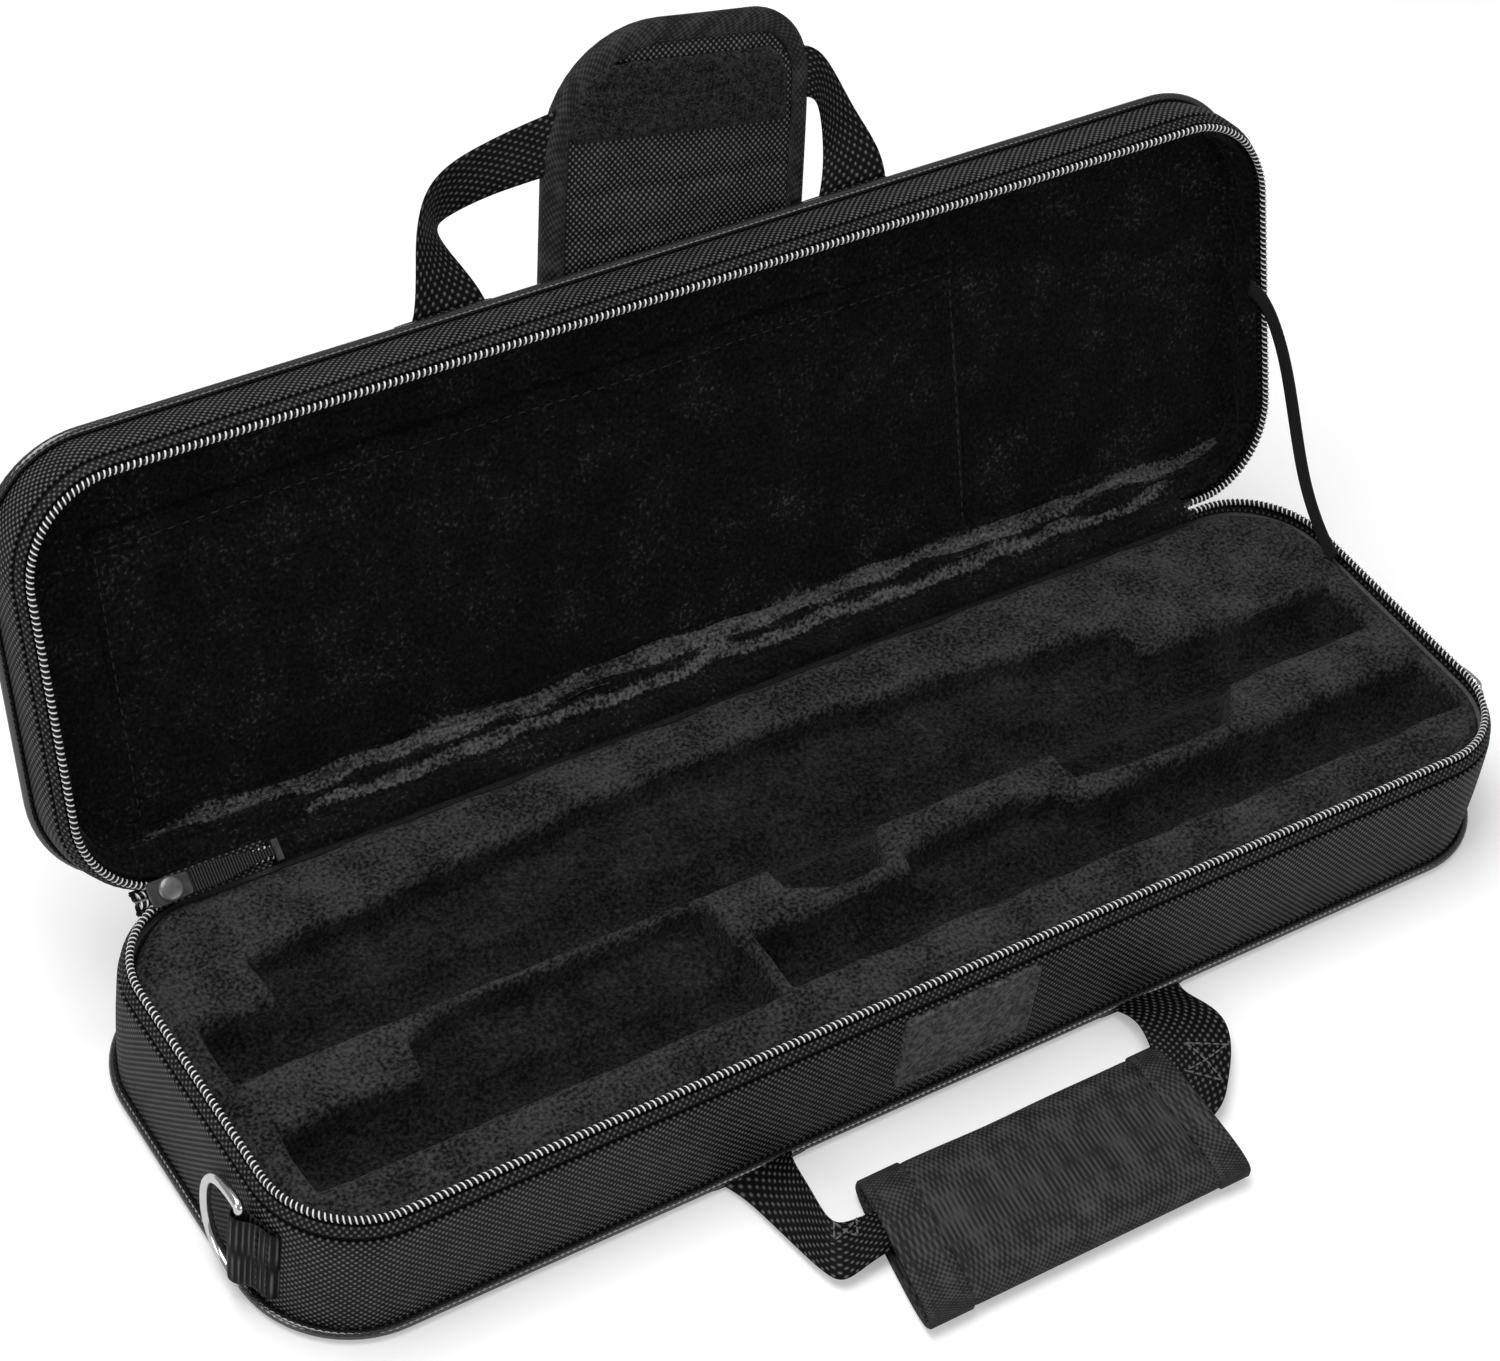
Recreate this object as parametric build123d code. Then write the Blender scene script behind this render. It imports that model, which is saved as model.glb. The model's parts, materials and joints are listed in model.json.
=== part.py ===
from build123d import *
import os
from math import cos, radians, sin

# Soft zipped case for a flute in three joints, standing on its bottom panel with the lid open.
# Millimetres. X runs along the case, +Y to the hinge at the back, +Z up.
# The origin is the middle of the bottom face.

# ---- driving dimensions -------------------------------------------------------------------
zip_length = 400.0        # the line of the zip, end to end
zip_width = 120.0         # the line of the zip, front to back
zip_corner = 27.0         # its corner radius
zip_height = 46.0         # height at which base and lid part
lid_depth = 23.0          # from the zip to the lid's outer face
lid_opening = 110.0       # how far the stay lets the lid lean back, in degrees

wall_out = 2.8            # outer face of the walls, outside the line of the zip
band_thick = 1.2          # woven cover of the walls
board_thick = 2.5         # stiffening board in the walls
tape_height = 6.0         # bare zip tape between the zip and the band
tape_thick = 0.8
coil_radius = 1.1
coil_out = -0.3           # the coil's centre, outside the line of the zip
coil_gap = 0.2            # each coil keeps this far from the zip plane
panel_thick = 3.0         # padded bottom panel
lid_panel_thick = 2.5
floor_board_thick = 2.2
piping_radius = 1.6
piping_out = 0.6          # piping centre, outside the wall face

insert_in = 1.1           # side of the insert, inside the line of the zip
insert_top = 42.5
tube_depth = 13.5         # depth of the rounded troughs for the tubes
trough_radius = 10.5
key_floor = 33.0          # floor of the key pockets

lining_thick = 2.0
lining_rim = 4.7          # the lid lining stops this far from the zip plane
ledge = 6.0               # how much thicker the lining's padded wall is along the hinge
pocket_thick = 1.2

web_width = 30.0          # webbing of straps and handles
web_thick = 1.4
strap_centre = 65.0
handle_gap = 3.7          # from the wall face to the axis that a handle folds about
sleeve_length = 100.0
sleeve_near = 84.0        # the hand sleeve's near and far edges, in front of the origin
sleeve_far = 130.0
sleeve_height = 9.0
sleeve_skin = 1.2
run_near = 92.0           # the run of the webbing inside the sleeve
run_far = 121.0
wrap_run_near = 94.0      # the run inside the wrap of the lid's handle, folded narrower
wrap_run_far = 112.0
wrap_lift = 3.0

wrap_centre = 12.0
wrap_half = 43.0
wrap_top = 190.0          # heights in the lid, counted from the hinge axis
wrap_fold = 173.5
wrap_foot = 94.0
wrap_thick = 4.2

ring_wire = 1.5
ring_height = 30.5
ring_reach = 18.0
bow_runs = 14             # straight runs in the ring's bow
ring_y = -35.0
ring_z = 22.0
tab_width = 26.5
tab_reach = 10.0          # how far the tab's leaves go on in front of the bar

chain_left = -179.0       # meshed part of the zip on the back
chain_right = -147.0
slider_x = -178.0
slider_travel = 25.0
zip_end_right = 166.0

# ---- worked out from them -----------------------------------------------------------------
half_length = zip_length / 2
half_width = zip_width / 2
wall_face = half_width + wall_out
lid_top = zip_height + lid_depth
band_top = zip_height - tape_height
lid_band_foot = zip_height + tape_height
hinge_y = half_width + 0.4
half_open = radians(lid_opening / 2)
board_out = wall_out - band_thick
handle_y = -(wall_face + handle_gap)

lid_open = Pos(0, hinge_y, zip_height) * Rot(-lid_opening, 0, 0) * Pos(0, -hinge_y, -zip_height)
chain_plane = Plane(
    origin=(0, hinge_y, zip_height), x_dir=(1, 0, 0), z_dir=(0, cos(half_open), -sin(half_open))
)


# ---- shared shapes ------------------------------------------------------------------------
def outline(offset, z):
    """The rounded outline of the case, offset from the line of the zip, at height z."""
    return Pos(0, 0, z) * RectangleRounded(
        zip_length + 2 * offset, zip_width + 2 * offset, zip_corner + offset
    )


def slab(offset, low, high):
    """A flat plate of the case's outline."""
    return extrude(outline(offset, low), high - low)


def wall(outer, inner, low, high):
    """An upright wall that runs all round the case."""
    return slab(outer, low, high) - slab(inner, low, high)


def leaning_wall(low_out, high_out, thick, low, high):
    """A thin wall all round whose top leans in or out."""
    skin = loft([outline(low_out, low), outline(high_out, high)], ruled=True)
    core = loft([outline(low_out - thick, low), outline(high_out - thick, high)], ruled=True)
    return skin - core


def bead(offset, z, radius, sides):
    """A bead all round the case, with flat sides in place of a round section."""
    path = outline(offset, z).wire()
    return sweep(Plane(path @ 0, z_dir=path % 0) * RegularPolygon(radius, sides), path=path)


def block(x0, x1, y0, y1, z0, z1):
    """A plain block between two corners."""
    middle = Pos((x0 + x1) / 2, (y0 + y1) / 2, (z0 + z1) / 2)
    return middle * Box(x1 - x0, y1 - y0, z1 - z0)


def back_gap():
    """The stretch at the back where the zip is meshed, or where it has ended."""
    return block(-186.5, zip_end_right, 40, 80, 0, 100)


def side_profile(points, half):
    """A solid of one side view, drawn in Y and Z, that is as long as twice half along X."""
    return extrude(Plane.YZ * make_face(Polyline(*points, close=True)), half, both=True)


# ---- base shell ---------------------------------------------------------------------------
def base_bottom_panel():
    """Padded panel with two shallow beds in which the handle webbing is sewn down flush."""
    panel = slab(wall_out, 0, panel_thick)
    panel = chamfer(panel.faces().sort_by(Axis.Z)[0].outer_wire().edges(), 1.0)
    for side in (-1, 1):
        x = side * strap_centre
        panel -= block(x - web_width / 2, x + web_width / 2, -80, half_width - 2, -1, web_thick)
    return panel


def base_straps():
    """Webbing sewn across the bottom, one strip for each end of the handle."""
    end = handle_y + web_thick / 2 + 0.15
    return [
        block(side * strap_centre - web_width / 2, side * strap_centre + web_width / 2,
              end, half_width - 2, 0, web_thick)
        for side in (-1, 1)
    ]


def shell_piping(seam):
    """Covered cord in the seam between a panel and its band, outside the wall face."""
    cord = bead(wall_out + piping_out, seam, piping_radius, 6)
    return cord - slab(wall_out, seam - 9, seam + 9)


def front_patch():
    """Bare moulded patch sewn to the middle of the front wall."""
    face = Plane.XZ.offset(wall_face) * Pos(0, 24) * RectangleRounded(46, 29, 3)
    rim = Plane.XZ.offset(wall_face + 0.8) * Pos(0, 24) * RectangleRounded(41, 24, 1.5)
    return extrude(face, 1.1) - extrude(rim, 1)


# ---- insert -------------------------------------------------------------------------------
def trough(x0, x1, y):
    """Round-bottomed trough for one tube, open at the top."""
    axis_z = insert_top - tube_depth + trough_radius
    tube = Pos((x0 + x1) / 2, y, axis_z) * Rot(0, 90, 0) * Cylinder(trough_radius, x1 - x0)
    return tube + block(x0, x1, y - trough_radius, y + trough_radius, axis_z, insert_top + 1)


def pocket(points, floor):
    """Flat-floored pocket with blunted corners, open at the top."""
    face = make_face(Polyline(*points, close=True))
    face = chamfer(face.vertices(), 2.5)
    return extrude(Pos(0, 0, floor) * face, insert_top + 1 - floor)


def flute_insert():
    """Moulded plush-covered block with a bed for each joint of the flute and finger scoops."""
    low = panel_thick + floor_board_thick
    body = slab(-insert_in, low, insert_top)
    body = chamfer(body.faces().sort_by(Axis.Z)[-1].outer_wire().edges(), 2.0)
    body -= trough(-190, 190, 8)
    body -= pocket([(-168, 8), (-168, 33), (-60, 41), (0, 42), (60, 38), (118, 31), (118, 8)],
                   key_floor)
    body -= pocket([(68, 8), (72, -12), (92, -15.5), (126, -14.5), (142, 8)], key_floor)
    body -= pocket([(-30, 8), (-26, -10), (-14, -15.5), (2, -15.5), (14, 8)], key_floor + 2)
    body -= trough(-188, -49, -32)
    body -= pocket([(-148, -32), (-144, -10), (-132, -5.5), (-50, -5.5), (-50, -32)], key_floor)
    body -= trough(-44, 193, -31)
    body -= pocket([(6, -31), (10, -16), (24, -13), (48, -13), (62, -16), (66, -31)], key_floor)
    return body


# ---- rings --------------------------------------------------------------------------------
def ring_tab():
    """Webbing folded round the ring's bar and sewn to the left end wall near the front."""
    wrapped = wall(wall_out + 2 * 1.3, wall_out, ring_z - tab_width / 2, ring_z + tab_width / 2)
    leaves = wrapped & block(-220, -180, ring_y - tab_reach, ring_y - 1.5, 0, 60)
    bar_x = -(half_length + wall_out + 3.4)
    loop = Pos(bar_x, ring_y, ring_z) * (
        Cylinder(ring_wire + 1.4, tab_width) - Cylinder(ring_wire + 0.08, tab_width + 2)
    )
    bore = Pos(bar_x, ring_y, ring_z) * Cylinder(ring_wire + 0.08, tab_width + 2)
    return (leaves + loop) - bore


def d_ring():
    """Wire ring: a round upright bar that the tab holds, and a bow bent in short straight runs."""
    middle = Plane(origin=(-(half_length + wall_out + 3.4), ring_y, ring_z),
                   x_dir=(0, 1, 0), z_dir=(1, 0, 0))
    arc = ThreePointArc((0, -ring_height / 2), (ring_reach, 0), (0, ring_height / 2))
    bow = Polyline(*[arc @ (run / bow_runs) for run in range(bow_runs + 1)])
    section = Plane(bow @ 0, z_dir=bow % 0) * RegularPolygon(ring_wire, 8)
    wire = sweep(section, path=bow, transition=Transition.RIGHT)
    return middle * (wire + Rot(90, 0, 0) * Cylinder(ring_wire, ring_height + 2 * ring_wire))


# ---- handles ------------------------------------------------------------------------------
def web_run(lift, run_far):
    """Side view of a handle's webbing: from the fold axis, out at a slight rise, then level."""
    start, near, far = handle_y, -sleeve_near, -run_far
    return side_profile(
        [(start, 0), (near, lift), (far, lift), (far, lift + web_thick),
         (near, lift + web_thick), (start, web_thick)],
        strap_centre + web_width / 2,
    )


def handle_loop(lift, run_near, run_far):
    """One length of webbing: two legs, folded corners and the run that the hand holds."""
    wide = strap_centre + web_width / 2
    inner = strap_centre - web_width / 2
    corner = strap_centre - 8
    plan = make_face(Polyline(
        (-wide, handle_y), (-wide, -run_near), (-corner, -run_far), (corner, -run_far),
        (wide, -run_near), (wide, handle_y), (inner, handle_y), (inner, -run_near),
        (-inner, -run_near), (-inner, handle_y), close=True))
    loop = web_run(lift, run_far) & extrude(Pos(0, 0, -20) * plan, 60)
    for side in (-1, 1):
        loop += Pos(side * strap_centre, handle_y, web_thick / 2) * Rot(0, 90, 0) * Cylinder(
            web_thick / 2, web_width)
    return loop


def hand_sleeve():
    """Padded sleeve sewn round the run of the base handle."""
    depth = sleeve_far - sleeve_near
    oval = Plane.YZ * Pos(-(sleeve_near + sleeve_far) / 2, sleeve_height / 2) * RectangleRounded(
        depth, sleeve_height, sleeve_height / 2 - 0.2)
    sleeve = extrude(oval, sleeve_length / 2, both=True)
    return sleeve - base_loop


# ---- grip wrap ----------------------------------------------------------------------------
def wrap_sheet(low, high, near, far, grow=0.0, round_top=False):
    """A piece of the wrap, between two heights in the lid and two distances from the zip.

    The two corners at its foot are round, or the two at its top."""
    y_low, y_high = hinge_y - low, hinge_y - high
    half = wrap_half + grow
    face = Pos(wrap_centre, (y_low + y_high) / 2, zip_height + near) * Rectangle(
        2 * half, high - low)
    if round_top:
        face = fillet(face.vertices().sort_by(Axis.Y)[:2], min(14, high - low - 2))
    else:
        face = fillet(face.vertices().sort_by(Axis.Y)[2:], 14)
    return extrude(face, far - near)


# ---- zip ----------------------------------------------------------------------------------
def zip_chain_halves():
    """The two meshed coils with their tape, a slot between them for the slider's post."""
    halves = []
    for side in (-1, 1):
        coil = block(chain_left, chain_right, min(side * 0.8, side * 2.1),
                     max(side * 0.8, side * 2.1), -0.9, 0.9)
        tape = block(chain_left, chain_right, min(side * 2.1, side * 3.8),
                     max(side * 2.1, side * 3.8), -0.3, 0.3)
        halves.append(chain_plane * (coil + tape))
    return halves


def zip_slider():
    """Slider with two plates, side flanges, a post between the coils and a lug for the pull."""
    half = 6.0
    plan = make_face(Polyline((-half, -3.5), (-half, 3.5), (-1, 3.5), (half, 2.9),
                              (half, -2.9), (-1, -3.5), close=True))
    plan = chamfer(plan.vertices(), 0.6)
    body = extrude(Pos(0, 0, 1.1) * plan, 1.3) + extrude(Pos(0, 0, -2.4) * plan, 1.3)
    for side in (-1, 1):
        low, high = sorted((side * 2.3, side * 2.9))
        body += block(-half + 1, half - 0.5, low, high, 0.5, 1.2)
        body += block(-half + 1, half - 0.5, low, high, -1.2, -0.5)
    body += block(-half + 0.6, -half + 3.2, -0.6, 0.6, -1.2, 1.2)
    lug = make_face(Polyline((-3.6, 2.0), (-1.7, 8.6), (1.7, 8.6), (3.6, 2.0), close=True))
    lug += Pos(0, 8.6) * Circle(1.7)
    lug -= Pos(0, 8.6) * Circle(0.9)
    body += extrude(Plane.XZ * lug, 0.75, both=True)
    return chain_plane * Pos(slider_x, 0, 0) * body


def zip_puller():
    """Pull tab with two arms and a bar through the slider's lug."""
    pivot = 8.6
    bar = Pos(0, 0, pivot) * Rot(90, 0, 0) * Cylinder(0.82, 5.2)
    arms = block(-0.8, 0.8, -2.6, 2.6, pivot, 13) - block(-2, 2, -1.05, 1.05, 0, 11.4)
    tab_face = Pos(0, 20.5) * RectangleRounded(7, 18, 2.4) - Pos(0, 26) * Circle(1.5)
    tab = extrude(Plane.YZ * tab_face, 0.8, both=True)
    return chain_plane * Pos(slider_x, 0, 0) * (bar + arms + tab)


# ---- hinge and stay -----------------------------------------------------------------------
def hinge_strip():
    """Folded cover fabric that joins the back walls of base and lid between the zip's ends."""
    thick = 0.7
    foot = (wall_face - thick - 0.05, band_top + 0.1)
    crown = (hinge_y + 0.1, zip_height - 0.6)
    edge = lid_point(wall_out - 0.4 - thick, tape_height - 0.1)
    lid_outer = lid_point(wall_out - 0.4, tape_height - 0.1)
    points = [foot, (crown[0] - 0.6, crown[1]), (crown[0] + 0.3, crown[1] + 0.5), edge,
              lid_outer, (crown[0] + 0.45, crown[1] - 0.4), (foot[0] + thick, foot[1])]
    left, right = chain_right + 2.5, zip_end_right - 0.5
    strip = extrude(Plane.YZ * make_face(Polyline(*points, close=True)), right - left)
    return Pos(left, 0, 0) * strip


def lid_point(dy, dz):
    """A point of the closed lid, given from the hinge axis, where it lies in the open lid."""
    turn = radians(lid_opening)
    return (hinge_y + dy * cos(turn) + dz * sin(turn), zip_height - dy * sin(turn) + dz * cos(turn))


def lid_stay():
    """Ribbon that holds the lid open, from the base's rim to the lid's right wall."""
    foot_y, foot_z = 28.0, insert_top + 0.1
    head_y, head_z = lid_point(-62, 5)
    wide = 3.6
    points = [(foot_y - wide, foot_z), (head_y - wide, head_z), (head_y + wide, head_z),
              (foot_y + wide, foot_z)]
    ribbon = extrude(Plane.YZ * make_face(Polyline(*points, close=True)), 0.7)
    return Pos(half_length - 3.9, 0, 0) * ribbon


# ---- all the pieces -----------------------------------------------------------------------
base_loop = handle_loop(sleeve_skin, run_near, run_far)
lid_loop = Pos(0, 0, lid_top) * handle_loop(wrap_lift, wrap_run_near, wrap_run_far)
left_tab = ring_tab()
left_ring = d_ring()

coil_z = zip_height - coil_gap - coil_radius
base_coil = bead(coil_out, coil_z, coil_radius, 6) - back_gap()
tape_low, tape_high = band_top + 0.05, coil_z - coil_radius
base_tape = leaning_wall(2.0, 0.4, tape_thick, tape_low, tape_high) - back_gap()
mirror_plane = Plane.XY.offset(zip_height)
stop = block(zip_end_right - 0.2, zip_end_right + 2.6, half_width - 1.6, half_width + 0.2,
             tape_high + 0.05, zip_height - 0.3)

pieces = {
    "base_bottom_panel": base_bottom_panel(),
    "base_straps": base_straps(),
    "base_bottom_board": slab(board_out - 0.05, panel_thick, panel_thick + floor_board_thick),
    "base_side_band": wall(wall_out, board_out, panel_thick, band_top),
    "base_wall_board": wall(board_out - 0.05, board_out - board_thick,
                            panel_thick + floor_board_thick, band_top - 0.5),
    "base_piping": shell_piping(panel_thick),
    "base_zip_tape": base_tape,
    "base_zip_coil": base_coil - stop,
    "base_zip_stop": stop,
    "flute_insert": flute_insert(),
    "front_patch": front_patch(),
    "ring_tab_left": left_tab,
    "ring_tab_right": mirror(left_tab, Plane.YZ),
    "d_ring_left": left_ring,
    "d_ring_right": mirror(left_ring, Plane.YZ),
    "hinge_strip": hinge_strip(),
    "lid_stay": lid_stay(),
    "base_handle_loop": base_loop,
    "base_handle_sleeve": hand_sleeve(),
    "zip_chain": zip_chain_halves(),
    "zip_bottom_stop": chain_plane * block(chain_right, chain_right + 2, -3, 3, -1.1, 1.1),
    "zip_slider": zip_slider(),
    "zip_puller": zip_puller(),
}

lid_top_panel = slab(wall_out, lid_top - lid_panel_thick, lid_top)
lid_top_panel = chamfer(lid_top_panel.faces().sort_by(Axis.Z)[-1].outer_wire().edges(), 1.0)
lid_seam = lid_top - lid_panel_thick
lid_board_low = lid_seam - floor_board_thick
rim = zip_height + lining_rim
lining = slab(-insert_in, rim, lid_board_low) - slab(
    -insert_in - lining_thick, rim - 1, lid_board_low - lining_thick)
ledge_face = half_width - insert_in - lining_thick - ledge
lining += slab(-insert_in, rim, lid_board_low) & block(
    -half_length, half_length, ledge_face, half_width, rim, lid_board_low)
pocket_top = lid_board_low - lining_thick
wrap_near = lid_depth + 2.2

closed_lid = {
    "lid_top_panel": lid_top_panel,
    "lid_straps": [
        block(side * strap_centre - web_width / 2, side * strap_centre + web_width / 2,
              handle_y + web_thick / 2 + 0.15, half_width - 2, lid_top, lid_top + web_thick)
        for side in (-1, 1)
    ],
    "lid_board": slab(board_out - 0.05, lid_board_low, lid_seam),
    "lid_side_band": wall(wall_out, board_out, lid_band_foot, lid_seam),
    "lid_wall_board": wall(board_out - 0.05, board_out - board_thick,
                           lid_band_foot + 0.5, lid_board_low),
    "lid_piping": shell_piping(lid_seam),
    "lid_lining": lining,
    "lid_pocket": block(-178, 95, hinge_y - 100, hinge_y - 10, pocket_top - pocket_thick,
                        pocket_top),
    "lid_zip_tape": mirror(base_tape, mirror_plane),
    "lid_zip_coil": mirror(base_coil - stop, mirror_plane),
    "lid_zip_stop": mirror(stop, mirror_plane),
    "lid_handle_loop": lid_loop,
    "grip_pad": wrap_sheet(wrap_foot, wrap_fold - 0.3, wrap_near,
                           wrap_near + wrap_thick) - lid_loop,
    "grip_flap": wrap_sheet(wrap_fold + 0.3, wrap_top, wrap_near,
                            wrap_near + wrap_thick, round_top=True),
    "grip_hook_panel": wrap_sheet(wrap_fold + 3.5, wrap_top - 3, wrap_near - 1.0, wrap_near,
                                  grow=-5, round_top=True),
}
for name, piece in closed_lid.items():
    solids = piece if isinstance(piece, list) else [piece]
    pieces[name] = [lid_open * solid for solid in solids]

os.makedirs("parts", exist_ok=True)
for name, piece in pieces.items():
    solids = piece if isinstance(piece, list) else [piece]
    node = solids[0] if len(solids) == 1 else Compound(children=solids)
    export_step(node, f"parts/{name}.step")
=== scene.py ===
import json
import math
import bpy
import bmesh
import numpy as np
from mathutils import Matrix, Vector


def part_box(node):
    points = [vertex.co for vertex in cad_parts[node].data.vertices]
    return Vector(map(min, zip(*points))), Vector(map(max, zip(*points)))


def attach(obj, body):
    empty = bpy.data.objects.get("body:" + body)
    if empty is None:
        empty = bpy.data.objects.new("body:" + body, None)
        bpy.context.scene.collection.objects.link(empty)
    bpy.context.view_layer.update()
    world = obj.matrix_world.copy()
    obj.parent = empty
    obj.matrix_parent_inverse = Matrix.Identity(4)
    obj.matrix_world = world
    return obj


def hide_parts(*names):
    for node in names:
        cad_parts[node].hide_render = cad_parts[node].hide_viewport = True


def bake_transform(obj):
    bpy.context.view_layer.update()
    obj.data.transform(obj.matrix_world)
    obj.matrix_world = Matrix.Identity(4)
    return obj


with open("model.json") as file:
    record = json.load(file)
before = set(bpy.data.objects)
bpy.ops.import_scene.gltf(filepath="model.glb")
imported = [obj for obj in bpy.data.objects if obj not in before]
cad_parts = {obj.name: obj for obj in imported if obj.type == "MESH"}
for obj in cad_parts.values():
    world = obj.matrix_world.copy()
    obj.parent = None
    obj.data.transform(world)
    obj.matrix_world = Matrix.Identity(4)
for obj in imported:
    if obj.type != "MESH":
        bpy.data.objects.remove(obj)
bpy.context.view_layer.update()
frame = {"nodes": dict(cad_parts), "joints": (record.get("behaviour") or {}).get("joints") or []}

# ---- Stiffening boards ----------------------------------------------------------------------
# Grey foam board inside the walls, the floor and the lid. It is cut flat, slipped between the
# nylon cover and the plush, and held by the seams, so only its edges would ever show.
def set_values(node, values):
    """Sets a node's inputs by their names, in which "_" stands for a space."""
    for socket, value in values.items():
        node.inputs[socket.replace("_", " ")].default_value = value
    return node


def workbench(tree):
    """Two functions for a node tree: one adds a node of a kind, with values on its inputs, and
    the other links an output to an input."""
    return (lambda kind, **values: set_values(tree.nodes.new("ShaderNode" + kind), values),
            tree.links.new)


def new_material(name, **values):
    """A material with these values on its shader's own sockets, its shader and its workbench."""
    material = bpy.data.materials.new(name)
    material.use_nodes = True
    shader = set_values(material.node_tree.nodes["Principled BSDF"], values)
    return material, shader, *workbench(material.node_tree)


def two_shades(add, dark, light, low=0.0, high=1.0):
    """A ramp from a dark shade at one value to a light one at another."""
    ramp = add("ValToRGB")
    for stop, place, shade in zip(ramp.color_ramp.elements, (low, high), (dark, light)):
        stop.position, stop.color = place, (*shade, 1)
    return ramp


def tint_and_emboss(shader, add, link, shade, height, ramp, depth):
    """A pattern's shade goes through a ramp to the colour, and its height through a bump."""
    bump = add("Bump", Distance=depth)
    for start, end in ((shade, ramp.inputs["Fac"]), (height, bump.inputs["Height"]),
                       (ramp.outputs["Color"], shader.inputs["Base Color"]),
                       (bump.outputs["Normal"], shader.inputs["Normal"])):
        link(start, end)


def dress(material, slot, *nodes):
    """Gives nodes that are kept as they are their material. The slot is not used."""
    for node in (frame["nodes"][name] for name in nodes):
        node.data.materials.clear()
        node.data.materials.append(material)


foam, shader, add, link = new_material("foam_board", Roughness=0.85)
cells = add("TexVoronoi", Scale=900)
link(add("TexCoord").outputs["Object"], cells.inputs["Vector"])
tint_and_emboss(shader, add, link, cells.outputs["Distance"], cells.outputs["Distance"],
                two_shades(add, (0.07, 0.07, 0.072), (0.13, 0.13, 0.132)), 0.0002)
dress(foam, "stiffener", "base_bottom_board", "base_wall_board", "lid_board", "lid_wall_board")

# ---- Side walls -----------------------------------------------------------------------------
# A band of coated nylon runs round the base and another round the lid, cut from one strip and
# closed at the back. Each is turned in at the zip tape and sewn to its panel over the piping.
wall_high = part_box("base_side_band")[1]
wall_length, wall_width = wall_high.x, wall_high.y
wall_corner = 0.0298
band_thick = 0.0012
hinge = frame["joints"][0]
hinge_at = np.array(hinge["pos_m"])
lid_angle = math.radians(hinge["range_deg"][1])
zip_z = hinge_at[2]


def distances(line):
    """The distance walked along a line to each of its points."""
    return np.append(0, np.cumsum(np.linalg.norm(np.diff(line, axis=0), axis=1)))


def points_at(line, walked, at):
    """The points of a line at these values of the distance walked."""
    return np.stack([np.interp(at, walked, column) for column in line.T], 1)


def full_turn(count):
    """Evenly spaced angles once round."""
    return np.linspace(0, 2 * math.pi, count + 1)[:-1]


def walk_case(start_x, end_x, step):
    """The outline of the outer wall face, from the back at start_x round by the left end and the
    front to the back at end_x: straight runs and quarter circles of the wall's corner radius.
    Gives the points, their outward directions and the distance walked, a step apart."""
    run, side = wall_length - wall_corner, wall_width - wall_corner
    quarter = np.linspace(0, 90, 31)
    corners = [(-run, side, 90), (-run, -side, 180), (run, -side, 270), (run, side, 360)]
    bend = np.concatenate([turn + quarter for _, _, turn in corners])
    hub = np.repeat([(x, y) for x, y, _ in corners], quarter.size, axis=0)
    way = np.radians(np.concatenate([[90], bend, [450]]))
    edge = hub + wall_corner * np.stack([np.cos(way[1:-1]), np.sin(way[1:-1])], 1)
    edge = np.vstack([(start_x, wall_width), edge, (end_x, wall_width)])
    walked = distances(edge)
    s = np.linspace(0, walked[-1], int(round(walked[-1] / step)) + 1)
    angle = np.interp(s, walked, way)
    return points_at(edge, walked, s), np.stack([np.cos(angle), np.sin(angle)], 1), s


def in_base(points, rise):
    """Points of the outline at a distance below the plane of the zip."""
    return np.dstack([points[..., 0], points[..., 1], zip_z - rise])


def on_lid(x, v, n):
    """A point of the open lid from its place along the case, its distance from the hinge and
    its height above the plane of the zip, which the lid's angle turns into y and z."""
    c, s = math.cos(lid_angle), math.sin(lid_angle)
    return np.stack(np.broadcast_arrays(
        x, hinge_at[1] - v * c + n * s, hinge_at[2] + v * s + n * c), -1)


def in_lid(points, rise):
    """Points of the outline at a distance above the plane of the zip, on the open lid."""
    return on_lid(points[..., 0], hinge_at[1] - points[..., 1], rise)


def carry(walk, profile, place):
    """A profile carried along the outline: each row is the outline moved outwards by the
    profile's first value and away from the zip by its second."""
    points, outward, _ = walk
    out, rise = np.array(profile).T
    moved = points[None] + outward[None] * out[:, None, None]
    return place(moved, np.broadcast_to(rise[:, None], moved.shape[:2]))


def make_piece(name, points, faces, uv, merge=0.0, outward=True):
    """An object of points and faces with a UV map in metres, shaded smooth. Points closer than
    merge become one, and faces are turned outwards unless a thickness is still to come."""
    mesh = bpy.data.meshes.new(name)
    mesh.from_pydata(points.reshape(-1, 3).tolist(), [], faces)
    mesh.uv_layers.new(name="cloth").data.foreach_set("uv", uv.astype(np.float32).ravel())
    mesh.shade_smooth()
    shape = bmesh.new()
    shape.from_mesh(mesh)
    if merge:
        bmesh.ops.remove_doubles(shape, verts=shape.verts, dist=merge)
    if outward:
        bmesh.ops.recalc_face_normals(shape, faces=shape.faces)
    shape.to_mesh(mesh)
    shape.free()
    piece = bpy.data.objects.new(name, mesh)
    bpy.context.scene.collection.objects.link(piece)
    return piece


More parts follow.
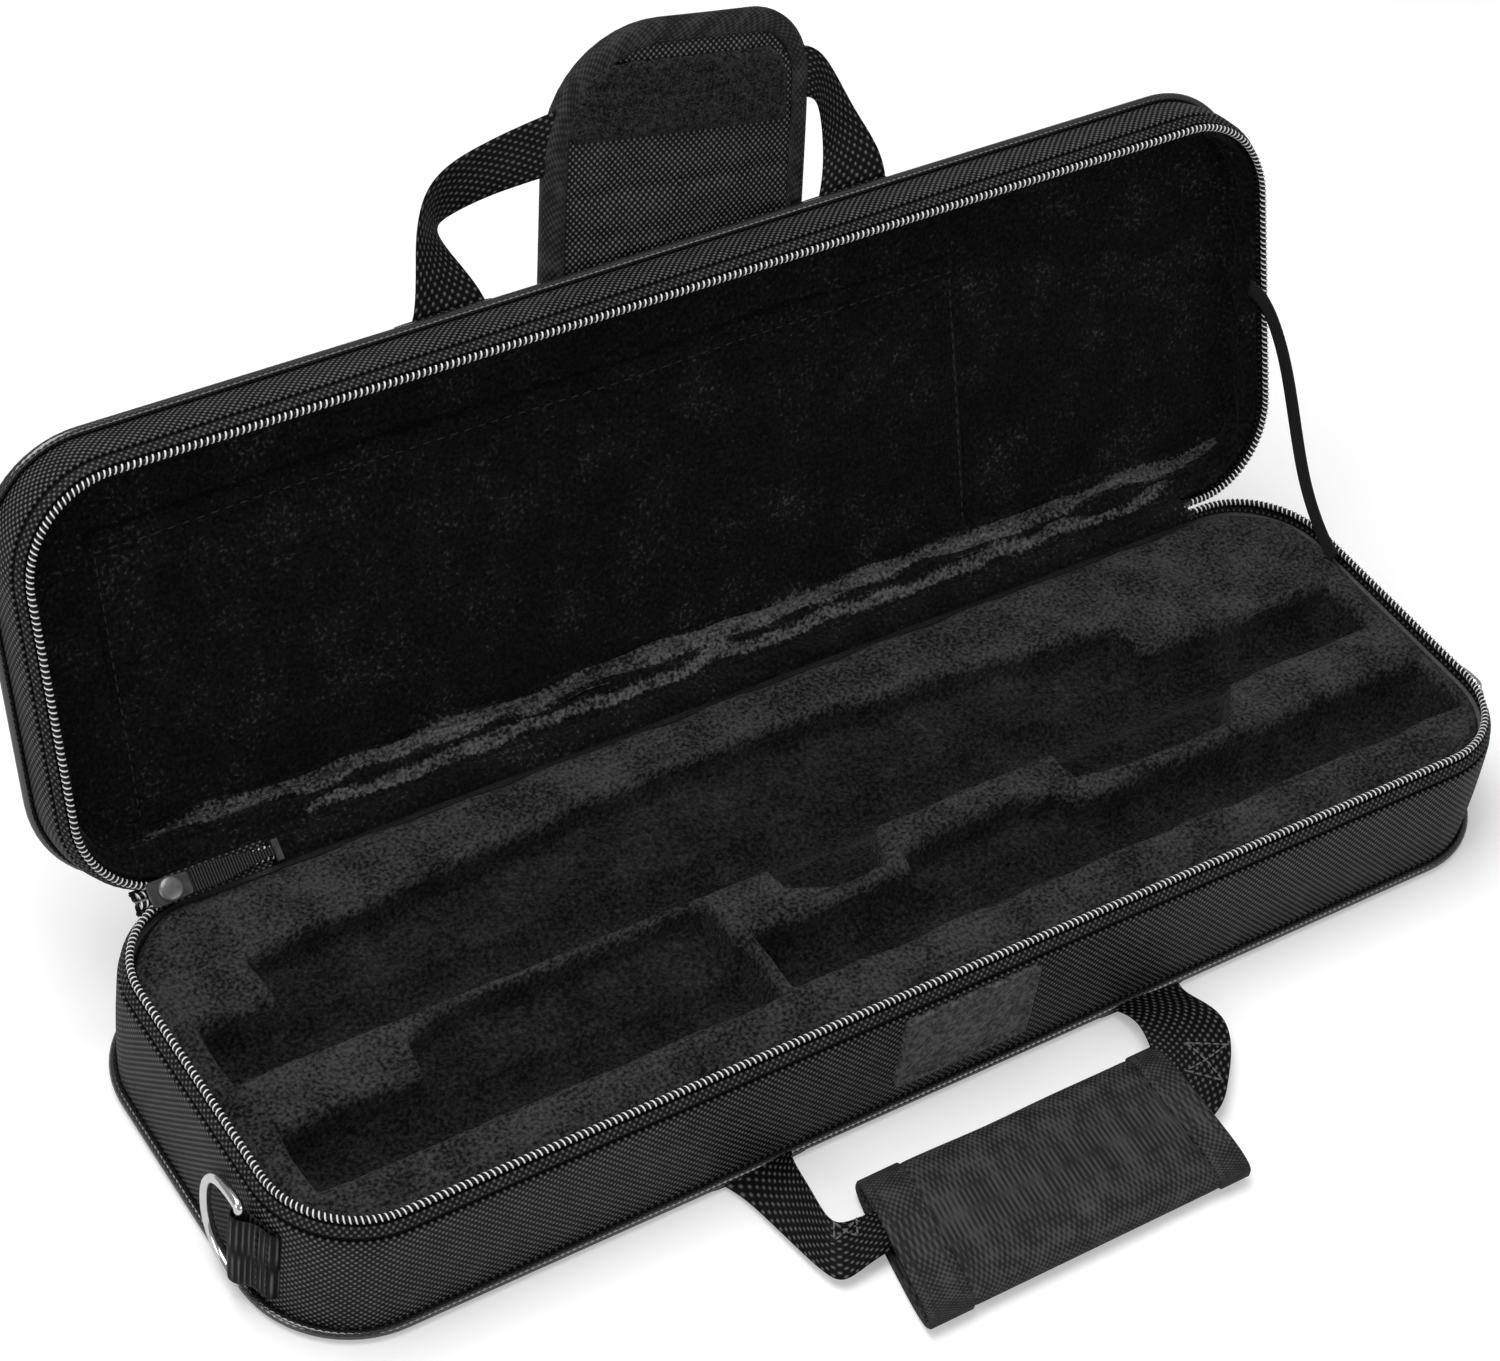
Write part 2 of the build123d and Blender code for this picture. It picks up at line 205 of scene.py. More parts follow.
def cloth(name, grid, uv, around=False, along=False, caps=False, thick=0.0, merge=0.0):
    """A mesh over a grid of points, closed along its rows, its columns or both. Caps close the
    ends of a tube. Thick gives a sheet its thickness, to one side or, below nothing, the other."""
    rows, cols = grid.shape[:2]
    i = np.arange(rows if along else rows - 1)[:, None]
    j = np.arange(cols if around else cols - 1)[None, :]
    near, far = (i % rows) * cols, ((i + 1) % rows) * cols
    quads = np.stack(np.broadcast_arrays(
        near + j, near + (j + 1) % cols, far + (j + 1) % cols, far + j), -1).reshape(-1, 4)
    u, v = (np.broadcast_to(a, (rows + along, cols + around)) for a in uv)
    corner = [np.stack([u[a, b], v[a, b]], -1) for a, b in (
        (i, j), (i, j + 1), (i + 1, j + 1), (i + 1, j))]
    loops = np.stack([np.broadcast_to(c, (i.size, j.size, 2)) for c in corner], -2).reshape(-1, 2)
    faces = quads.tolist()
    if caps:
        faces += [list(range(cols))[::-1], list(range((rows - 1) * cols, rows * cols))]
        tips = [np.stack([u[k, :cols], v[k, :cols]], -1) for k in (0, -1)]
        loops = np.vstack([loops, tips[0][::-1], tips[1]])
    piece = make_piece(name, grid, faces, loops, merge, not thick)
    if thick:
        wall = piece.modifiers.new("thickness", "SOLIDIFY")
        wall.thickness, wall.offset = abs(thick), -1 if thick > 0 else 1
    return piece


def finish(piece, material, body, slot, *nodes):
    """Gives a piece its material and its body, and hides the nodes it stands for. The slot is not
    used.
    """
    piece.data.materials.append(material)
    if body:
        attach(piece, body)
    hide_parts(*nodes)
    return piece


def pattern_group(name, **numbers):
    """A node group with a place and these numbers as its inputs, and a height and a shade as its
    outputs. Gives it with what it takes in, what it puts out and its workbench."""
    group = bpy.data.node_groups.new(name, "ShaderNodeTree")
    group.interface.new_socket("Place", in_out="INPUT", socket_type="NodeSocketVector")
    for socket in (*numbers, "Height", "Shade"):
        made = group.interface.new_socket(socket, socket_type="NodeSocketFloat",
                                          in_out="INPUT" if socket in numbers else "OUTPUT")
        made.default_value = numbers.get(socket, 0)
    given, result = group.nodes.new("NodeGroupInput"), group.nodes.new("NodeGroupOutput")
    return group, given.outputs, result.inputs, *workbench(group)


def yarn_group():
    """Interlaced yarns. Two sines multiplied lift every other crossing, as over and under do;
    a power sharpens them, and a slow noise lets the cloth shift in shade."""
    group, given, result, add, link = pattern_group(
        "interlaced_yarns", Along=0.001, Across=0.001, Crown=1.5, Uneven=0.3)

    def reckon(kind, *values):
        node = add("Math")
        node.operation = kind
        for socket, value in zip(node.inputs, values):
            if hasattr(value, "links"):
                link(value, socket)
            else:
                socket.default_value = value
        return node.outputs[0]

    split, shift = add("SeparateXYZ"), add("TexNoise", Scale=160, Detail=6)
    link(given["Place"], split.inputs[0])
    link(given["Place"], shift.inputs["Vector"])
    waves = [reckon("SINE", reckon("MULTIPLY", reckon("DIVIDE", split.outputs[axis], given[pitch]),
                                   math.pi)) for axis, pitch in enumerate(("Along", "Across"))]
    lift = reckon("MULTIPLY_ADD", reckon("MULTIPLY", *waves), 0.5, 0.5)
    height = reckon("POWER", lift, given["Crown"])
    uneven = reckon("MULTIPLY", reckon("SUBTRACT", shift.outputs[0], 0.5), given["Uneven"])
    link(height, result["Height"])
    link(reckon("ADD", height, reckon("MULTIPLY", uneven, 3.0)), result["Shade"])
    return group


yarns = yarn_group()


def lay_pattern(bench, group, place, ramp, depth, **values):
    """Puts a pattern into a material, at a place and with its own values."""
    shader, add, link = bench
    pattern = add("Group")
    pattern.node_tree = group
    set_values(pattern, values)
    link(place, pattern.inputs["Place"])
    shade, height = pattern.outputs["Shade"], pattern.outputs["Height"]
    tint_and_emboss(shader, add, link, shade, height, ramp, depth)
    return shade


def cloth_uv(add):
    """The place on a piece's own UV map."""
    place = add("UVMap")
    place.uv_map = "cloth"
    return place.outputs["UV"]


def woven(name, dark, light, along, across, depth, roughness=0.6, crown=1.5, uneven=0.3,
          gloss=0.12):
    """Cloth of two shades, the hollows between the yarns dark and their tops light."""
    material, *bench = new_material(name, Roughness=roughness, Specular_IOR_Level=gloss)
    add = bench[1]
    lay_pattern(bench, yarns, cloth_uv(add), two_shades(add, dark, light, 0.15, 0.8), depth,
                Along=along, Across=across, Crown=crown, Uneven=uneven)
    return material


nylon = woven("coated_nylon", (0.003, 0.003, 0.0033), (0.15, 0.15, 0.155), 0.00105, 0.00105,
              0.0003, crown=2.6, uneven=0.10)
around_case = walk_case(0, 0, 0.003)
closed_walk = tuple(part[:-1] for part in around_case)
# Each half of the case: its body, how its outline is placed, how far from the zip its wall is
# sewn to its panel, and the side to which a thickness is added so that it goes inwards.
halves = (("base", in_base, 0.0430, -1), ("lid", in_lid, 0.0205, 1))
top, wall_swell = 0.0069, 0.0006
for body, place, foot, side in halves:
    rise = np.concatenate([top + np.array([0.0014, 0.0006, 0.0001, 0, 0.0003, 0.0010, 0.0018]),
                           np.linspace(top + 0.0030, foot - 0.0012, 12), [foot - 0.0004, foot]])
    share = np.clip((rise - top) / (foot - top), 0, 1)
    out = wall_swell * np.sin(math.pi * share) ** 0.6
    out[:7] = (-0.0014, -0.0013, -0.0008, -0.0002, 0.0, 0.00015, 0.0002)
    out[-2:] = (-0.0002, -0.0007)
    wall = cloth(body + "_wall", carry(closed_walk, np.stack([out, rise], 1), place),
                 (around_case[2][None, :], rise[:, None]), around=True, thick=side * band_thick)
    finish(wall, nylon, body, "cover_cloth", body + "_side_band")

# ---- Bottom and top panels ------------------------------------------------------------------
# Nylon over thin padding, cut to the case's outline. The edge rolls over its filling into the
# seam, and the panel swells a little between the rows of stitching.
spine = wall_length - wall_width


def draw_in(points, share):
    """The outline drawn in towards the middle line of the case: beyond the line's ends x keeps
    its share of what is left over, and y its share of the whole."""
    kept = np.clip(points[..., 0], -spine, spine)
    return np.stack([kept + (points[..., 0] - kept) * share, points[..., 1] * share], -1)


def wrapped(grid, *axes):
    """Coordinates of a grid that closes round, with its first column once more at the end."""
    closed = np.concatenate([grid, grid[:, :1]], 1)
    return tuple(closed[..., axis] for axis in axes)


def panel(name, place, outer, inner, swell):
    """A closed pad of the case's outline, between two distances from the zip."""
    share = np.concatenate([[0.0], np.linspace(0.12, 0.97, 12), [0.985, 0.995, 1, 1, 0.985],
                            np.linspace(0.9, 0.12, 6), [0.0]])
    rise = np.concatenate([
        outer - swell * np.linspace(0, 1, 13) ** 3,
        outer - swell - np.array([0.0002, 0.0007, 0.0014, 0.0022]), np.full(8, inner)])
    points = np.stack([draw_in(closed_walk[0], k) for k in share])
    grid = place(points, np.broadcast_to(rise[:, None], points.shape[:2]))
    return cloth(name, grid, wrapped(points, 0, 1), around=True, merge=0.00002)


bottom_pad = panel("bottom_pad", in_base, zip_z - 0.0004, zip_z - 0.003, 0.0004)
finish(bottom_pad, nylon, "base", "cover_cloth", "base_bottom_panel")
top_pad = panel("top_pad", in_lid, 0.0230, 0.0205, 0.0002)
finish(top_pad, nylon, "lid", "cover_cloth", "lid_top_panel")

# ---- Piping ---------------------------------------------------------------------------------
# A cord wrapped in shiny bias-cut nylon, caught in the seams of the bottom and of the lid's top.
# It stands proud of the wall and takes the knocks, so its crown is polished.
piping_cloth = woven("piping_nylon", (0.008, 0.008, 0.0085), (0.035, 0.035, 0.036), 0.0009,
                     0.0005, 0.00003, roughness=0.16, uneven=0.2, gloss=1.0)
piping_radius, turn = 0.0013, full_turn(14)
for body, place, seam, _ in halves:
    profile = np.stack([0.0012 + piping_radius * np.cos(turn),
                        seam + 0.0006 + piping_radius * np.sin(turn)], 1)
    tube = cloth(body + "_cord_piping", carry(closed_walk, profile, place),
                 (around_case[2][None, :], np.linspace(0, 0.01, 15)[:, None]),
                 around=True, along=True)
    finish(tube, piping_cloth, body, "piping", body + "_piping")

# ---- Zip tapes ------------------------------------------------------------------------------
# Woven polyester tape, nearly flush with the wall. It dips under the wall's turned edge, which
# leaves a groove, and curves in to its coil. It stops at the back with the zip. A near-black strip
# laid in the groove along the tape is painted shadow, a dark line where the groove is in shade.
zip_left, zip_right = -0.1865, 0.1660
# Painted shadow: this near-black cloth stands for the shade in the groove between the wall's edge
# and the tape.
painted_shadow_cloth = woven("black_seam_binding", (0.0006, 0.0006, 0.0007), (0.004, 0.004, 0.0043),
                     0.0008, 0.0005, 0.0002, roughness=0.9)
tape_cloth = woven("zip_tape_weave", (0.003, 0.003, 0.0034), (0.10, 0.10, 0.103), 0.0010, 0.0008,
                   0.0002, crown=2.6, uneven=0.10)
open_walk = walk_case(zip_left, zip_right, 0.003)
rise = np.concatenate([[0.0070, 0.0060, 0.0055, 0.0052], np.linspace(0.0048, 0.0026, 7)])
out = -0.0002 - 0.0021 * (np.clip(0.0056 - rise, 0, 1) / 0.0035) ** 1.7
out[:4] = (-0.0018, -0.0017, -0.0011, -0.0005)
channel = np.array([(-3.4, 2.3), (-2.7, 2.5), (-2.1, 3.0), (-1.6, 3.8), (-1.1, 4.6), (-1.0, 5.3),
                    (-1.0, 6.1), (-0.8, 6.7), (-0.9, 7.3)]) / 1000
for body, place, _, side in halves:
    for tag, profile, thick, material, nodes in (
            ("_tape", np.stack([out, rise], 1), -0.0006, tape_cloth, [body + "_zip_tape"]),
            ("_tape_seam_binding", channel, 0.0003, painted_shadow_cloth, [])):
        strip = cloth(body + tag, carry(open_walk, profile, place),
                      (open_walk[2][None, :], profile[:, 1:]), thick=side * thick)
        finish(strip, material, body, "zip_tape", *nodes)

# ---- Zip coils ------------------------------------------------------------------------------
# One nylon thread wound into a spiral and sewn along the tape, its turns flattened on the side
# that locks. The thread is smooth; its colour carries a painted highlight on every turn and
# painted shade in the gaps.
coil_pitch, coil_radius, coil_round = 0.0017, 0.0011, 0.007
teeth_turn = full_turn(9)


def wound_thread(name, crown):
    """Nylon thread painted in light and shade: near black in the gaps between its turns as painted
    shade, and of this shade on their crowns as a painted highlight: the size of a sine of the
    distance along the coil less the turn round it."""
    material, shader, add, link = new_material(name, Roughness=0.35, Specular_IOR_Level=0.25)
    phase, wave, size = add("VectorMath"), add("Math"), add("Math")
    phase.operation, wave.operation, size.operation = "DOT_PRODUCT", "SINE", "ABSOLUTE"
    phase.inputs[1].default_value = (math.pi / coil_pitch, -math.pi / coil_round, 0)
    tint = two_shades(add, (0.002, 0.002, 0.0022), crown, 0.83, 0.98)
    for start, end in ((cloth_uv(add), phase.inputs[0]), (phase.outputs["Value"], wave.inputs[0]),
                       (wave.outputs[0], size.inputs[0]), (size.outputs[0], tint.inputs["Fac"]),
                       (tint.outputs["Color"], shader.inputs["Base Color"])):
        link(start, end)
    return material


def coil_reach(s):
    """The radius of a wound thread: a ridge that climbs one pitch for each turn round the core,
    as the square of a sine to the power 1.6, with wide valleys between the turns."""
    ridge = np.sin(math.pi * (s[None] / coil_pitch - teeth_turn[:, None] / (2 * math.pi))) ** 2
    return coil_radius * (0.55 + 0.45 * ridge ** 1.6)


def coil(name, grid, s, body, node):
    """A coil from its rings of points and the distance along it."""
    piece = cloth(name, grid.transpose(1, 0, 2),
                  (s[:, None], np.linspace(0, coil_round, 10)[None]), around=True, caps=True)
    finish(piece, nylon_thread, body, "zip_coil", node)


# Painted highlight: the crowns' near-white shade stands for the glint of light on the dark thread.
nylon_thread = wound_thread("moulded_nylon_thread", (0.80, 0.80, 0.805))
points, outward, s = walk_case(zip_left, zip_right, coil_pitch / 8)
out = -0.0031 + coil_reach(s) * np.cos(teeth_turn)[:, None]
rise = 0.0013 + coil_reach(s) * np.sin(teeth_turn)[:, None]
for body, place, *_ in halves:
    coil(body + "_coil", place(points[None] + outward[None] * out[..., None], rise), s, body,
         body + "_zip_coil")

# ---- Plush insert ---------------------------------------------------------------------------
# Foam block covered with short charcoal plush, pressed into beds for the three joints of the
# flute, with deeper pockets for the keys and scoops for the fingers. The pile softens each edge.
bed_low, bed_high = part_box("flute_insert")
bed_top, bed_length, bed_width = bed_high.z, bed_high.x, bed_high.y
bed_corner = 0.0259


def pile_group():
    """Short pile. A fine noise is the tips of the fibres, and a slow one the patches where the
    nap lies another way; their mix is the shade, and the fine one the height."""
    group, given, result, add, link = pattern_group(
        "brushed_pile", Fibre=900.0, Patch=60.0, Brushing=0.5)
    tips, nap, mix = add("TexNoise", Detail=4), add("TexNoise", Detail=3), add("Mix")
    for noise, scale in ((tips, "Fibre"), (nap, "Patch")):
        link(given["Place"], noise.inputs["Vector"])
        link(given[scale], noise.inputs["Scale"])
    for start, end in ((given["Brushing"], mix.inputs[0]), (tips.outputs[0], mix.inputs[2]),
                       (nap.outputs[0], mix.inputs[3]), (tips.outputs[0], result["Height"]),
                       (mix.outputs[0], result["Shade"])):
        link(start, end)
    return group


pile = pile_group()


def napped(name, dark, light, fibre, patch, brushing, depth, sheen, rubbed=None, roughness=0.95,
           gloss=0.1):
    """Plush of two shades: the gaps between the fibres dark, their tips light. Where the mesh
    attribute of painted light grows to one, tuft by tuft, the colour is painted paler this many
    times over, a painted highlight on places that face the light."""
    material, *bench = new_material(
        name, Roughness=roughness, Specular_IOR_Level=gloss, Sheen_Weight=sheen,
        Sheen_Roughness=0.4, Sheen_Tint=(0.6, 0.6, 0.62, 1))
    shader, add, link = bench
    tint = two_shades(add, dark, light, 0.40, 0.62)
    shade = lay_pattern(bench, pile, add("TexCoord").outputs["Object"], tint, depth,
                        Fibre=fibre, Patch=patch, Brushing=brushing)
    # Painted light: a mesh attribute scales the colour up, so lit places are painted paler than
    # shaded ones.
    if rubbed:
        painted_light_mask, tuft, paler = add("Attribute"), add("Math"), add("VectorMath")
        level = add("MapRange", From_Min=1.3, From_Max=1.9, To_Min=1, To_Max=rubbed)
        painted_light_mask.attribute_name, tuft.operation, paler.operation = "rubbed", "MULTIPLY_ADD", "SCALE"
        tuft.inputs[1].default_value = 2.2
        for start, end in ((shade, tuft.inputs[0]), (painted_light_mask.outputs["Fac"], tuft.inputs[2]),
                           (tuft.outputs[0], level.inputs["Value"]),
                           (tint.outputs["Color"], paler.inputs[0]),
                           (level.outputs[0], paler.inputs["Scale"]),
                           (paler.outputs["Vector"], shader.inputs["Base Color"])):
            link(start, end)
    return material


def ease(share):
    """A smooth step: three squares less two cubes of a share held between 0 and 1."""
    share = np.clip(share, 0, 1)
    return share * share * (3 - 2 * share)


def beyond_box(x, y, x0, x1, y0, y1):
    """How far each point lies outside a rectangle; less than nothing inside it."""
    dx = np.abs(x - (x0 + x1) / 2) - (x1 - x0) / 2
    dy = np.abs(y - (y0 + y1) / 2) - (y1 - y0) / 2
    return np.hypot(np.maximum(dx, 0), np.maximum(dy, 0)) + np.minimum(np.maximum(dx, dy), 0)


def beyond_outline(x, y, corners):
    """How far each point lies outside a polygon: the least distance to its sides, less than
    nothing where an odd number of sides lies to the right."""
    near, inside = np.full(x.shape, 9.0), np.zeros(x.shape, bool)
    corners = np.array(corners) / 1000
    for (ax, ay), (bx, by) in zip(corners, np.roll(corners, -1, axis=0)):
        along = np.clip(((x - ax) * (bx - ax) + (y - ay) * (by - ay))
                        / ((bx - ax) ** 2 + (by - ay) ** 2), 0, 1)
        near = np.minimum(near, np.hypot(x - ax - along * (bx - ax), y - ay - along * (by - ay)))
        if ay != by:
            inside ^= ((ay > y) != (by > y)) & (x < (bx - ax) * (y - ay) / (by - ay) + ax)
    return np.where(inside, -near, near)


def drift(x, y, span, seed):
    """A slow, even unrest between -1 and 1: the sum of five sines in fixed chance directions."""
    chance = np.random.default_rng(seed)
    angle, phase, stretch = chance.uniform(0, 2 * math.pi, (3, 5))
    pace = 2 * math.pi / (span * (0.6 + stretch / (2 * math.pi)))
    return sum(np.sin((x * math.cos(a) + y * math.sin(a)) * k + p)
               for a, p, k in zip(angle, phase, pace)) / 3


def bed_height(x, y):
    """The lowest of all the beds: each sinks from the top to its own floor over the soft width
    of its wall, a trough's floor is a circle, and the outer edge rolls over a quarter circle."""
    radius, centre, soft, roll = 0.0105, bed_top - 0.003, 0.0034, 0.0045
    sway, dimple, pocket_floor, scoop_floor = 0.0006, 0.0003, 0.033, 0.035
    x, y = x + sway * drift(x, y, 0.03, 3), y + sway * drift(x, y, 0.027, 4)
    beds = [(beyond_box(x, y, x0, x1, axis - radius, axis + radius),
             centre - np.sqrt(np.clip(radius ** 2 - (y - axis) ** 2, 0, None)))
            for x0, x1, axis in ((-0.190, 0.190, 0.008), (-0.188, -0.049, -0.032),
                                 (-0.044, 0.193, -0.031))]
    beds += [(beyond_outline(x, y, corners), floor) for floor, corners in (
        (pocket_floor, [(-168, 8), (-168, 33), (-60, 41), (0, 42), (60, 38), (118, 31), (118, 8)]),
        (pocket_floor, [(68, 8), (72, -12), (92, -15.5), (126, -14.5), (142, 8)]),
        (scoop_floor, [(-30, 8), (-26, -10), (-14, -15.5), (2, -15.5), (14, 8)]),
        (pocket_floor, [(-148, -32), (-144, -10), (-132, -5.5), (-50, -5.5), (-50, -32)]),
        (pocket_floor, [(6, -31), (10, -16), (24, -13), (48, -13), (62, -16), (66, -31)]))]
    z = np.full(x.shape, bed_top)
    for away, floor in beds:
        z = np.minimum(z, bed_top + (floor - bed_top) * ease(0.5 - away / soft))
    edge = -beyond_box(x, y, -bed_length + bed_corner, bed_length - bed_corner,
                       -bed_width + bed_corner, bed_width - bed_corner) + bed_corner
    inside = np.clip(roll - edge, 0, roll)
    rolled = z - (roll - np.sqrt(roll ** 2 - inside ** 2))
    return rolled + dimple * drift(x, y, 0.018, 5) - dimple


def paint_light(piece, share):
    """Writes where the colour is painted paler, as painted light: a share at each point for napped
    cloth to read.
    """
    piece.data.attributes.new("rubbed", "FLOAT", "POINT").data.foreach_set("value", share)


lengthwise = np.linspace(-bed_length, bed_length, 441)
crosswise = np.linspace(-1, 1, 149)
past_side = np.maximum(np.abs(lengthwise) - bed_length + bed_corner, 0)
half = bed_width - bed_corner + np.sqrt(np.clip(bed_corner ** 2 - past_side ** 2, 0, None))
bed_x = np.repeat(lengthwise[:, None], crosswise.size, 1)
bed_y = half[:, None] * np.sign(crosswise) * np.abs(crosswise) ** 0.94
bed_z = bed_height(bed_x, bed_y)
bed_z += 0.00012 * np.random.default_rng(7).standard_normal(bed_z.shape)
bed = np.pad(np.dstack([bed_x, bed_y, bed_z]), ((1, 1), (1, 1), (0, 0)), "edge")
for rim in (bed[0], bed[-1], bed[:, 0], bed[:, -1]):
    rim[:, 2] = bed_low.z
bed_plush = napped("charcoal_plush", (0.0014, 0.0014, 0.0015), (0.0180, 0.0180, 0.0185), 900, 70,
                   0.32, 0.0011, 0.08, rubbed=2.9)
insert = cloth("plush_insert", bed, (bed[..., 0], bed[..., 1]))
# Painted light: near the top the plush is painted up to 2.9 times paler, and the sunken beds keep
# the darker shade as painted shade.
sunken = bed_top - np.array([v.co.z for v in insert.data.vertices])
paint_light(insert, ease((0.0042 - sunken) / 0.003))
finish(insert, bed_plush, "base", "plush", "flute_insert")

# ---- Lid lining and its pocket --------------------------------------------------------------
# Black plush over thin foam, glued into the lid. By the hinge the foam is a thick bolster that
# the cloth creases over. A flat pocket of the same plush is sewn on, open along its top hem.
lid_plush = napped("black_plush", (0.0006, 0.0006, 0.0007), (0.0078, 0.0078, 0.0081), 900, 60, 0.3,
                   0.0008, 0.06, rubbed=13)
lining_walk = walk_case(0, 0, 0.002)
lining_points, lining_outward = (part[:-1] for part in lining_walk[:2])
rim_out, rim_rise, floor_rise = -0.0049, 0.0047, 0.0163
wall_share = np.linspace(0, 1, 26)
floor_share = 1 - np.linspace(0, 1, 42) ** 0.8
hinge_side = ease((lining_outward[:, 1] - 0.5) / 0.5)
x, y = lining_points.T
rows = []
for share in np.concatenate([[-0.12, -0.05], wall_share]):
    bulge = 0.0062 * ease(share / 0.35) * hinge_side * (1 + 0.22 * drift(x, share + y, 0.07, 11))
    fold = 0.0009 * drift(x, share * 0.03 + y, 0.02, 12) * ease(share * 3)
    turn_in = 0.0026 * (1 - ease((1 - share) * 5))
    out = rim_out - 0.0012 * ease(share * 4) - bulge + fold - turn_in
    rise = rim_rise + (floor_rise - rim_rise) * max(share, 0.0) - 0.0004 * (share < 0)
    out = out + (0.0012 if share < -0.1 else 0)
    rows.append((lining_points + lining_outward * out[:, None], np.full(x.shape, rise)))
last_points, _ = rows[-1]
for share in floor_share[1:]:
    points = draw_in(last_points, share)
    edge = ease((1 - share) * 14)
    dimple = 0.0007 * drift(points[:, 0], points[:, 1], 0.05, 13) * edge
    rows.append((points, floor_rise - 0.0006 + 0.0006 * edge + dimple - 0.0004))
grid = in_lid(*(np.stack(part) for part in zip(*rows)))
lining = cloth("plush_lining", grid, wrapped(grid, 0, 2), around=True, merge=0.00002,
               thick=-0.0016)


def between(value, low, high, soft):
    """One between two limits and nothing beyond them, with a smooth step inside each."""
    return ease((value - low) / soft) * ease((high - value) / soft)


# Along the bolster's crest a wide streak, with a thin one beside it, is painted up to 13 times
# paler: a painted highlight where the crest faces the light.
spots = np.array([v.co for v in lining.data.vertices]) - hinge_at
lid_v = spots @ np.array([0, -math.cos(lid_angle), math.sin(lid_angle)])
lid_n = spots @ np.array([0, math.sin(lid_angle), math.cos(lid_angle)])
ragged = 0.0005 * drift(spots[:, 0], lid_n, 0.02, 14)
swell = between(spots[:, 0], -0.175, 0.205, 0.06)
ends = between(spots[:, 0], -0.179, 0.1985, 0.004)
wide = between(lid_n, 0.0098 - 0.0022 * swell - ragged, 0.0150, 0.001)
thin = ease(1.2 - np.abs(lid_n - 0.0061 - ragged) / 0.0008) * ease(swell * 3 - 1.9)
paint_light(lining, ease((0.0130 - lid_v) / 0.0015) * ends * np.maximum(wide, thin))
finish(lining, lid_plush, "lid", "lid_plush", "lid_lining")

pocket_left, pocket_right, pocket_foot, pocket_hem = -0.178, 0.095, 0.0105, 0.100
across = np.linspace(0, 1, 121)[:, None]
upward = np.concatenate([np.linspace(0, 0.93, 44), [0.94, 0.95, 0.97, 0.99, 1.0, 1.0]])[None, :]
px = pocket_left + (pocket_right - pocket_left) * across
pv = pocket_foot + (pocket_hem - pocket_foot) * upward
pv = pv + 0.0006 * drift(px, 0 * px, 0.08, 21) * upward
puff = np.sin(math.pi * across) ** 0.3
puff = puff * np.sin(math.pi * np.clip(upward * 0.97 + 0.02, 0, 1)) ** 0.4
pocket_rise = 0.0158
pn = pocket_rise - 0.0013 * puff - 0.0007 * drift(px, pv, 0.045, 22) * puff
pn = pn - np.where((upward > 0.935) & (upward < 0.999), 0.0007, 0) + 0.0012 * (upward >= 1)
pn[:, -1] += 0.0008
pocket = cloth("lid_pocket_plush", on_lid(px, pv, pn), (px, pv), thick=-0.0009)
finish(pocket, lid_plush, "lid", "lid_plush", "lid_pocket")

# ---- Stitching ------------------------------------------------------------------------------
# Twisted polyester thread. Each stitch is a short grain that dips into the cloth at both ends.
def twisted_thread(name, dark, light, roughness):
    """Sewing thread of two shades."""
    return woven(name, dark, light, 0.0004, 0.0004, 0.00005, roughness=roughness)


thread = twisted_thread("sewing_thread", (0.012, 0.012, 0.013), (0.06, 0.06, 0.063), 0.5)


def stitches(name, path, lift, body, slot, pitch=0.0034, length=0.0024, radius=0.00028,
             material=thread):
    """A row of stitches along a path: each is an ellipsoid of revolution, one pitch from the
    next, and the path gives its direction. Lift is the direction out of the cloth."""
    path = np.array(path, float)
    walked = distances(path)
    at = np.arange(pitch / 2, walked[-1], pitch)
    spots = points_at(path, walked, at)
    way = points_at(path, walked, at + 1e-4) - spots
    way /= np.maximum(np.linalg.norm(way, axis=1, keepdims=True), 1e-9)
    lift = np.broadcast_to(np.array(lift, float), way.shape)
    lift = lift - way * (lift * way).sum(1, keepdims=True)
    lift /= np.linalg.norm(lift, axis=1, keepdims=True)
    polar, turn = np.linspace(0, math.pi, 6)[:, None, None], full_turn(6)[:, None]
    thick = radius * np.sin(polar)
    grain = sum(size * axis[:, None, None] for size, axis in (
        (length / 2 * np.cos(polar) + 0 * turn, way), (thick * np.cos(turn), np.cross(way, lift)),
        (thick * np.sin(turn), lift)))
    i, j = 6 * np.arange(5)[:, None], np.arange(6)[None, :]
    quad = np.stack([i + j, i + (j + 1) % 6, i + 6 + (j + 1) % 6, i + 6 + j], -1).reshape(-1, 4)
    faces = (quad[None] + 36 * np.arange(at.size)[:, None, None]).reshape(-1, 4).tolist()
    uv = np.tile([[0, 0], [0.001, 0], [0.001, 0.001], [0, 0.001]], (len(faces), 1))
    piece = make_piece(name, spots[:, None, None] + grain, faces, uv, 1e-6)
    return finish(piece, material, body, slot)


